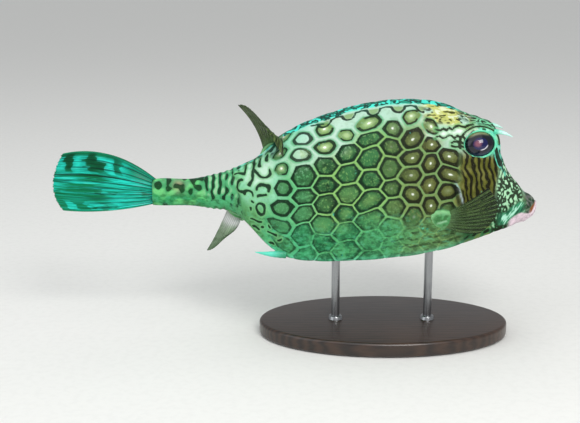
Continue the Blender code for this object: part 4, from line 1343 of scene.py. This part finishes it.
def buildSpike(name, start, end, radius, droop, material, nodes):
    start, end = Vector(start), Vector(end)
    axis = end - start
    bm = bmesh.new()
    bmesh.ops.create_cone(bm, cap_ends=True, segments=spikes["segments"], radius1=1, radius2=1, depth=1)
    long = [e for e in bm.edges if abs(e.verts[0].co.z - e.verts[1].co.z) > 0.5]
    bmesh.ops.subdivide_edges(bm, edges=long, cuts=spikes["rings"], use_grid_fill=True)
    turn = axis.to_track_quat("Z", "Y").to_matrix()
    local = coordsOf(bm)
    share = local[:, 2] + 0.5
    size = radius * (1 - share ** spikes["taper"]) + spikes["tipRadius"] * share
    rippleSize, rippleRate = spikes["ripple"]
    size = size * (1 + rippleSize * np.sin(share * rippleRate))
    placed = []
    for p, t, r in zip(local, share, size):
        bend = Vector((0, 0, droop * math.sin(math.pi * t)))
        placed.append((start + turn @ Vector((p[0] * r, p[1] * r, t * axis.length)) + bend) * mm)
    placeAll(bm, placed)
    bmesh.ops.recalc_face_normals(bm, faces=bm.faces)
    finishPiece(bm, name, material, nodes, {"along": ("FLOAT", share)})


def buildSpikes():
    hornSkin = spikeFinish("horn_bone", spikes["hornColours"])
    keelSkin = spikeFinish("keel_spine", spikes["spineColours"])
    for side, label in ((-1, "right"), (1, "left")):
        root, tip = sided(head["browEnd"], side), sided(head["hornTip"], side)
        start = root - (tip - root) * spikes["hornRoot"]
        buildSpike(f"brow_horn_{label}", start, tip, spikes["hornRadius"], spikes["hornDroop"], hornSkin,
                   (f"horn_{label}",))
        root, tip = sided(spikes["spineRoot"], side), sided(spikes["spineTip"], side)
        buildSpike(f"keel_spine_{label}", root, tip, spikes["spineRadius"], spikes["spineDroop"], keelSkin,
                   (f"rear_spine_{label}",))
    print("horns and spines done")


buildSpikes()


# fins: fans of branched rays with a thin skin between them

fins = {
    "tail": {
        "guides": (((-139.0, 0.0, 97.4), (-167.0, -1.0, 122.4), (-197.4, -3.0, 115.4)),
                   ((-139.0, 0.0, 91.0), (-172.0, 0.5, 93.4), (-205.4, 2.0, 94.6)),
                   ((-139.0, 0.0, 84.6), (-170.0, -0.5, 76.4), (-198.8, -2.0, 79.8))),
        "rays": 11, "perRay": 16, "steps": 110, "thickness": 1.25,
    },
    "dorsal": {
        "guides": (((-66.5, -0.8, 122.0), (-62.0, -13.0, 131.6), (-62.7, -20.6, 116.2)),
                   ((-70.5, -0.3, 119.0), (-72.0, -8.0, 133.0), (-79.0, -10.0, 140.3)),
                   ((-74.6, 0.0, 115.6), (-76.0, 1.0, 130.0), (-90.3, 2.0, 144.6))),
        "rays": 10, "perRay": 12, "steps": 70, "thickness": 0.95,
    },
    "anal": {
        "guides": (((-88.0, 0.0, 77.6), (-91.0, -9.0, 67.0), (-98.0, -11.8, 66.6)),
                   ((-92.5, 0.0, 80.0), (-97.5, -4.0, 67.0), (-105.0, -6.8, 57.7)),
                   ((-96.5, 0.0, 82.6), (-100.5, 2.0, 70.0), (-110.8, 2.8, 52.7))),
        "rays": 10, "perRay": 12, "steps": 70, "thickness": 0.95,
    },
    "pectoral": {
        "guides": (((35.0, 26.6, 85.0), (45.0, 37.0, 93.0), (55.5, 41.8, 103.2)),
                   ((33.0, 27.2, 81.0), (47.0, 39.0, 84.5), (61.2, 44.6, 90.0)),
                   ((32.0, 27.6, 76.6), (43.0, 37.0, 73.0), (52.2, 40.6, 75.7))),
        "rays": 11, "perRay": 14, "steps": 90, "thickness": 0.95,
    },
    # how far a ray parts, and from where to where along it; then its width at the root and tip
    "fork": (0.17, 0.35, 0.85),
    "twig": (0.075, 0.68, 1.0),
    "rayWidth": (0.10, 0.055),
    "rayRoundness": 0.8,
    "paintedWidth": 2.6,
    # the ragged end: how far the skin and the rays fall short, and from where on
    "ragged": (0.010, 0.006, 0.8),
    "bow": 0.14,
    # thickness of the skin and loss towards the tip, as shares of the whole
    "skinShare": 0.22,
    "tipLoss": 0.55,
    "thicknessSteps": 40,
}


def fanPoints(guides, u, v):
    lead, middle, trail = (bent(guide, v[:, None]) for guide in guides)
    weights = ((1 - u) * (1 - 2 * u), 4 * u * (1 - u), u * (2 * u - 1))
    return sum(line * w[:, None] for line, w in zip((lead, middle, trail), weights))


def rayProfile(u, v, rays, widen=1.0):
    # 1 on a ray and 0 on the skin between; each ray forks in two, and again near its tip
    phase = u * (rays - 1)
    off = np.abs(phase - np.rint(phase))
    fork, twig = (size * rise(v, start, end) for size, start, end in (fins["fork"], fins["twig"]))
    near = np.minimum(np.abs(off - fork - twig), np.abs(off - fork + twig))
    rootWidth, tipWidth = fins["rayWidth"]
    width = (rootWidth - (rootWidth - tipWidth) * v) * widen
    return np.clip(1 - near / width, 0, 1) ** fins["rayRoundness"]


def buildFin(name, spec, material, nodes, side=1):
    columns = (spec["rays"] - 1) * spec["perRay"]
    bm = bmesh.new()
    bmesh.ops.create_grid(bm, x_segments=columns, y_segments=spec["steps"], size=0.5)
    grid = coordsOf(bm)
    u, v = grid[:, 0] + 0.5, grid[:, 1] + 0.5
    ragged = np.random.RandomState(len(name)).uniform(0, 1, columns + 1)
    rag = np.interp(u, np.linspace(0, 1, columns + 1), ragged)
    profile = rayProfile(u, v, spec["rays"])
    skinGap, rayGap, raggedFrom = fins["ragged"]
    reach = v * (1 - (skinGap * (1 - profile) + rayGap * rag) * rise(v, raggedFrom, 1.0))
    points = fanPoints(spec["guides"], u, reach)
    points[:, 1] += fins["bow"] * np.sin(u * math.pi * (spec["rays"] - 1)) * v
    if side < 0:
        points[:, 1] *= -1
    placeAll(bm, points * mm)
    # the painted rays are wider than the ridges
    marks = np.column_stack([u, v, rayProfile(u, v, spec["rays"], fins["paintedWidth"])])
    obj = finishPiece(bm, name, material, nodes, {"fan": ("FLOAT_VECTOR", marks)})
    group = obj.vertex_groups.new(name="thickness")
    steps = fins["thicknessSteps"]
    ridges = (1 - fins["skinShare"]) * profile * (1 - fins["tipLoss"] * v)
    thick = np.rint((fins["skinShare"] + ridges) * steps)
    for level in np.unique(thick):
        group.add(np.nonzero(thick == level)[0].tolist(), float(level / steps), "REPLACE")
    shell = obj.modifiers.new("Solidify", "SOLIDIFY")
    shell.thickness = spec["thickness"] * mm
    shell.offset = 0
    shell.vertex_group = group.name


tailColours = {
    "deep": (0, 52, 30), "emerald": (0, 118, 74), "turquoise": (34, 214, 194), "spot": (6, 110, 70),
    "thread": (130, 240, 226), "seam": (2, 36, 26), "longLine": (2, 36, 28), "root": (138, 140, 138),
    "rim": (20, 140, 100),
}


def tailFinish():
    m = Finish("tail_fin_skin", tailColours)
    u, v, ray = m.parts(m.attribute("fan", "Vector"))

    def fanNoise(across, along, detail):
        return m.noise(m.joined(u * across, v * along, 3.0), 1.0, detail)

    fibre, thread, blotch = fanNoise(26, 2.2, 3), fanNoise(75, 2.6, 3), fanNoise(6.0, 4.5, 2)
    grain = m.noise(m.place(), 900, 3)
    # the top edge is barred, the rest streaked, and the lower edge has light patches
    topRow = m.fall(u + (blotch - 0.5) * 0.1, 0.20, 0.30)
    beat = m.maths("SINE", v * 26.0 + (blotch - 0.5) * 9.0 + u * 5.0) * 0.5 + 0.5
    bars = m.rise(beat, 0.35, 0.60) * m.rise(u, 0.03, 0.08) * m.rise(v, 0.25, 0.45)
    lowEnd = m.rise(u, 0.50, 0.68) * m.rise(v, 0.42, 0.62)
    light = topRow * bars + (1 - topRow) * m.rise(fibre, 0.40, 0.60) * (1 - lowEnd * 0.75)
    lowRow = m.rise(u, 0.74, 0.82) * m.fall(u, 0.93, 0.97) * m.rise(v, 0.30, 0.45)
    light = light * 0.9 + m.fall(v, 0.30, 0.60) * 0.25 + lowRow * m.rise(beat, 0.45, 0.75) * 0.75
    seam = m.rise(m.maths("PINGPONG", u * 10.0 + 0.5, 0.5), 0.34, 0.5) * m.fall(v, 0.50, 0.95)
    rootStreaks = m.rise(fibre, 0.50, 0.60) * m.fall(v, 0.16, 0.30) * m.rise(v, 0.04, 0.10)
    colour = m.coats("emerald", (
        ("turquoise", light),
        ("deep", (1 - beat) * topRow * m.rise(v, 0.3, 0.5) * 0.75),
        ("spot", m.rise(blotch, 0.60, 0.66) * (1 - topRow) * 0.7),
        ("deep", m.rise(thread, 0.50, 0.64) * 0.72),
        ("thread", m.rise(1 - thread, 0.58, 0.70) * light * 0.5),
        ("seam", seam * 0.80),
        ("longLine", m.fall(abs(u - 0.31), 0.004, 0.014) * 0.8),
        ("root", rootStreaks * 0.22),
        ("rim", m.larger(m.fall(u, 0.0, 0.03), m.rise(u, 0.97, 1.0)) * 0.7),
    ))
    return m.finish(Base_Color=colour, Roughness=0.36 + grain * 0.2, Specular_IOR_Level=0.12,
                    Normal=m.relief(thread * 0.7 + grain * 0.3 + ray * 0.4, 0.4, 0.0006))


# the clear fins: how solid the skin is, how dark the rays' edges are and how white the root is
clearFins = {
    "dorsal": {"skin": (50, 74, 34), "ray": (88, 108, 58), "alpha": 0.78, "edges": 0.6, "white": 0.0},
    "anal": {"skin": (92, 124, 86), "ray": (146, 176, 136), "alpha": 0.50, "edges": 0.60, "white": 0.95},
    "pectoral": {"skin": (44, 66, 34), "ray": (78, 104, 56), "alpha": 0.62, "edges": 0.97, "white": 0.0},
}
clearColours = {"edge": (8, 14, 6), "lead": (10, 20, 12), "white": (222, 220, 224), "root": (104, 140, 92)}


def clearFinFinish(name):
    # a thin fin: a dark line along each ray, and a skin that lets some light through
    look = clearFins[name]
    m = Finish(f"{name}_fin_skin", {**clearColours, "skin": look["skin"], "ray": look["ray"]})
    u, v, rib = m.parts(m.attribute("fan", "Vector"))
    grain = m.noise(m.place(), 700, 3)
    fan = m.noise(m.joined(u * 30, v * 3.0), 1.0, 3)
    colour = m.coats("skin", (
        ("ray", m.rise(fan, 0.35, 0.65)),
        ("edge", m.rise(rib, 0.45, 0.80) * look["edges"]),
        ("lead", m.fall(u, 0.0, 0.03) * 0.8),
    ))
    if look["white"]:
        colour = m.blend(colour, "white", m.fall(v, 0.22, 0.50) * m.rise(v, 0.02, 0.06) * look["white"])
    colour = m.blend(colour, "root", m.fall(v, 0.10, 0.34) * 0.45)
    clear = look["alpha"]
    cover = clear + m.rise(rib, 0.05, 0.5) * (0.92 - clear) + m.fall(v, 0.05, 0.3) * 0.4 + (fan - 0.5) * 0.5
    cover = m.smaller(m.larger(cover, clear * 0.6), 1.0)
    return m.finish(Base_Color=colour, Roughness=0.32 + grain * 0.2, Alpha=cover, Specular_IOR_Level=0.25,
                    Normal=m.relief(fan * 0.5 + grain * 0.4, 0.3, 0.0004))


lobes = {
    "pectoral": {"centre": (31.5, 27.0, 80.8), "radii": (8.2, 3.7, 6.1), "turn": 0},
    "dorsal": {"centre": (-70.6, -0.4, 118.4), "radii": (7.4, 3.0, 3.4), "turn": -40},
    "anal": {"centre": (-91.5, 0.0, 77.9), "radii": (7.2, 2.8, 3.2), "turn": 38},
}
lobeColours = {
    "root": (76, 146, 88), "wave": (54, 110, 58), "ring": (140, 204, 140), "edge": (34, 84, 50),
    # the first colour on this line is a painted highlight across the fin's root
    "lobeHighlight": (190, 232, 196), "speck": (186, 232, 190),
}


def lobeFinish():
    m = Finish("fin_root_skin", lobeColours)
    place = m.place()
    x, _, z = m.parts(m.attribute("lobeLocal", "Vector"))
    fine = m.noise(place, 800, 3)
    wave = m.noise(place, 260, 3, 0.5, 0.6)
    radius = m.length(x, z) + (wave - 0.5) * 0.10
    # a pale streak across the middle of the lobe is a painted highlight
    lobeHighlight = m.fall(abs(z + 0.18 - x * 0.45 + (fine - 0.5) * 0.2), 0.05, 0.16)
    colour = m.coats("root", (
        ("wave", m.rise(wave, 0.44, 0.62)),
        ("ring", m.rise(radius, 0.50, 0.85) * 0.6),
        ("edge", m.rise(radius, 0.86, 0.97) * 0.55),
        ("lobeHighlight", lobeHighlight * m.fall(abs(x + 0.05), 0.25, 0.45) * 0.35),
        ("speck", m.rise(fine, 0.58, 0.72) * 0.18),
    ))
    return m.finish(Base_Color=colour, Roughness=0.36 + fine * 0.2, Specular_IOR_Level=0.25,
                    Normal=m.relief(wave * 0.5 + fine * 0.4, 0.3, 0.0005))


def buildLobe(name, spec, material, side=1):
    bm = bmesh.new()
    bmesh.ops.create_uvsphere(bm, u_segments=64, v_segments=40, radius=1)
    local = coordsOf(bm)
    turn = Matrix.Rotation(math.radians(spec["turn"]), 3, "Y")
    ripple = 1 + 0.02 * np.sin(local[:, 0] * 9 + local[:, 2] * 7) + 0.015 * np.sin(local[:, 2] * 17)
    centre = Vector(sided(spec["centre"], side))
    shaped = local * ripple[:, None] * np.array(spec["radii"])
    placeAll(bm, [(centre + turn @ Vector(p)) * mm for p in shaped])
    finishPiece(bm, name, material, (), {"lobeLocal": ("FLOAT_VECTOR", local)})


def buildFins():
    buildFin("tail_fan", fins["tail"], tailFinish(), ("tail_fin",))
    rootSkin = lobeFinish()
    for name in ("dorsal", "anal"):
        buildFin(f"{name}_fan", fins[name], clearFinFinish(name), (f"{name}_fin",))
    for name in ("dorsal", "anal"):
        buildLobe(f"{name}_root", lobes[name], rootSkin)
    clear = clearFinFinish("pectoral")
    for side, label in ((-1, "right"), (1, "left")):
        buildFin(f"pectoral_fan_{label}", fins["pectoral"], clear, (f"pectoral_fin_{label}",), side)
        buildLobe(f"pectoral_root_{label}", lobes["pectoral"], rootSkin, side)
    print("fins done")


buildFins()


# the stand

stand = {
    "length": 156.0, "width": 92.0, "height": 9.0, "edge": 2.0,
    "rodRadius": 2.6, "rodX": (-30.0, 28.0),
    "collarRadius": 4.6, "collarTop": 3.956, "collarHeight": 2.2, "collarEdge": 0.5,
    "sharpAngle": 40,
}

standColours = {
    "wood": (58, 40, 30), "darkBand": (30, 21, 17), "warmCloud": (78, 54, 38), "pore": (12, 8, 6),
    "steel": (176, 178, 180), "brushed": (132, 134, 138),
}


def woodFinish():
    m = Finish("stand_dark_wood", standColours)
    place = m.place()
    grain = m.node("ShaderNodeTexWave", {"bands_direction": "Y"},
                   {"Vector": m.stretched(place, (1.0, 7.0, 7.0)), "Scale": 14.0, "Distortion": 5.0,
                    "Detail": 3.0, "Detail Scale": 1.6})
    pores = m.noise(m.stretched(place, (60.0, 900.0, 900.0)), 1.0, 3)
    cloud = m.noise(place, 18, 3)
    colour = m.coats("wood", (
        ("darkBand", grain),
        ("warmCloud", m.rise(cloud, 0.45, 0.75) * 0.4),
        ("pore", m.rise(pores, 0.60, 0.72) * 0.6),
    ))
    return m.finish(Base_Color=colour, Roughness=0.30 + pores * 0.18, Coat_Weight=0.35, Coat_Roughness=0.18,
                    Normal=m.relief(pores * 0.5 + grain * 0.3, 0.15, 0.0004))


def steelFinish():
    m = Finish("stand_brushed_steel", standColours)
    place = m.place()
    brushed = m.noise(m.stretched(place, (1800.0, 1800.0, 60.0)), 1.0, 3)
    smudge = m.noise(place, 90, 3)
    colour = m.blend("steel", "brushed", brushed)
    rough = 0.20 + brushed * 0.18 + m.rise(smudge, 0.5, 0.8) * 0.12
    return m.finish(Base_Color=colour, Metallic=1.0, Roughness=rough, Normal=m.relief(brushed, 0.12, 0.0002))


def upright(segments, lowRadius, highRadius, x, low, high):
    # a closed drum or cone between two heights, in mm
    bm = bmesh.new()
    bmesh.ops.create_cone(bm, cap_ends=True, segments=segments, radius1=lowRadius * mm,
                          radius2=highRadius * mm, depth=(high - low) * mm)
    bmesh.ops.translate(bm, vec=(x * mm, 0, (low + high) / 2 * mm), verts=bm.verts)
    return bm


def roundEdges(bm, edges, radius, segments):
    bmesh.ops.bevel(bm, geom=edges, offset=radius * mm, segments=segments, profile=0.5, affect="EDGES",
                    material=-1)
    bmesh.ops.recalc_face_normals(bm, faces=bm.faces)


def buildBase(wood):
    bm = upright(160, stand["length"] / 2, stand["length"] / 2, 0, 0, stand["height"])
    bmesh.ops.scale(bm, vec=(1, stand["width"] / stand["length"], 1), verts=bm.verts)
    rims = [e for e in bm.edges if abs(e.verts[0].co.z - e.verts[1].co.z) < 1e-6]
    roundEdges(bm, rims, stand["edge"], 6)
    finishPiece(bm, "display_base", wood, ("stand_base",))


def buildRod(x, label, steel):
    low, high = stand["height"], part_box(f"stand_rod_{label}")[1].z / mm
    bm = upright(48, stand["rodRadius"], stand["rodRadius"], x, low, high)
    finishPiece(bm, f"display_rod_{label}", steel, (f"stand_rod_{label}",))
    bm = upright(64, stand["collarRadius"], stand["collarTop"], x, low, low + stand["collarHeight"])
    tops = [e for e in bm.edges if min(v.co.z for v in e.verts) > (low + 1) * mm]
    roundEdges(bm, tops, stand["collarEdge"], 3)
    finishPiece(bm, f"display_collar_{label}", steel, ())


def buildStand():
    wood, steel = woodFinish(), steelFinish()
    buildBase(wood)
    for x, label in zip(stand["rodX"], ("rear", "front")):
        buildRod(x, label, steel)
    for obj in bpy.data.objects:
        if obj.name.startswith("display_"):
            obj.data.set_sharp_from_angle(angle=math.radians(stand["sharpAngle"]))
    print("stand done")


buildStand()


# floor, light and camera

studio = {
    "colours": {"floor": (234, 234, 231), "floorSpeck": (200, 200, 197)},
    "floorSize": 60.0,
    "floorDrop": 0.0003,
    "focal": 1100.0,
    "pictureWidth": 580.0,
    "sensor": 36,
    "distance": 0.68,
    "elevation": 14.0,
    "target": (-0.0587, 0.0, 0.0786),
    # name, place relative to the fish, size, power and colour
    "lamps": (
        ("key", (0.30, -0.80, 0.70), 0.45, 7.0, (1.0, 0.99, 0.97)),
        ("fill", (-0.9, -0.5, 0.45), 0.8, 2.6, (0.94, 0.98, 1.0)),
        ("top", (-0.1, 0.35, 1.0), 0.7, 1.6, (1.0, 1.0, 1.0)),
    ),
    "world": 0.42,
    "worldColour": (0.96, 0.98, 1.0, 1),
    "sky": 0.62,
    "skyAngle": 60,
    "skyAim": (0.25, 0.35, -1),
}


def aim(obj, direction):
    obj.rotation_euler = Vector(direction).to_track_quat("-Z", "Y").to_euler()


def buildFloor():
    m = Finish("studio_floor", studio["colours"])
    grain = m.noise(m.place(), 220, 3)
    colour = m.blend("floor", "floorSpeck", m.rise(grain, 0.4, 0.7) * 0.10)
    material = m.finish(Base_Color=colour, Roughness=0.85, Normal=m.relief(grain, 0.02, 0.0003))
    bm = bmesh.new()
    bmesh.ops.create_grid(bm, x_segments=2, y_segments=2, size=studio["floorSize"] / 2)
    bmesh.ops.translate(bm, vec=(0, 0, -studio["floorDrop"]), verts=bm.verts)
    floor = addObject("studio_floor", meshFrom(bm, "studio_floor"))
    floor.data.materials.append(material)


def buildLights():
    target = Vector(studio["target"])
    for name, offset, size, power, colour in studio["lamps"]:
        data = bpy.data.lights.new(name, "AREA")
        data.size = size
        data.energy = power
        data.color = colour
        lamp = addObject(name, data)
        lamp.location = target + Vector(offset)
        aim(lamp, target - lamp.location)
    data = bpy.data.lights.new("sky", "SUN")
    data.energy = studio["sky"]
    data.angle = math.radians(studio["skyAngle"])
    aim(addObject("sky", data), studio["skyAim"])
    world = bpy.data.worlds.new("studio")
    world.use_nodes = True
    background = world.node_tree.nodes["Background"]
    background.inputs[0].default_value = studio["worldColour"]
    background.inputs[1].default_value = studio["world"]
    bpy.context.scene.world = world


def buildCamera():
    data = bpy.data.cameras.new("camera")
    data.sensor_width = studio["sensor"]
    data.lens = studio["focal"] / studio["pictureWidth"] * studio["sensor"]
    camera = addObject("camera", data)
    elevation = math.radians(studio["elevation"])
    toCamera = Vector((0, -math.cos(elevation), math.sin(elevation)))
    camera.location = Vector(studio["target"]) + toCamera * studio["distance"]
    aim(camera, -toCamera)
    bpy.context.scene.camera = camera
    bpy.context.scene.view_settings.view_transform = "Standard"


buildFloor()
buildLights()
buildCamera()

print("all pieces done")
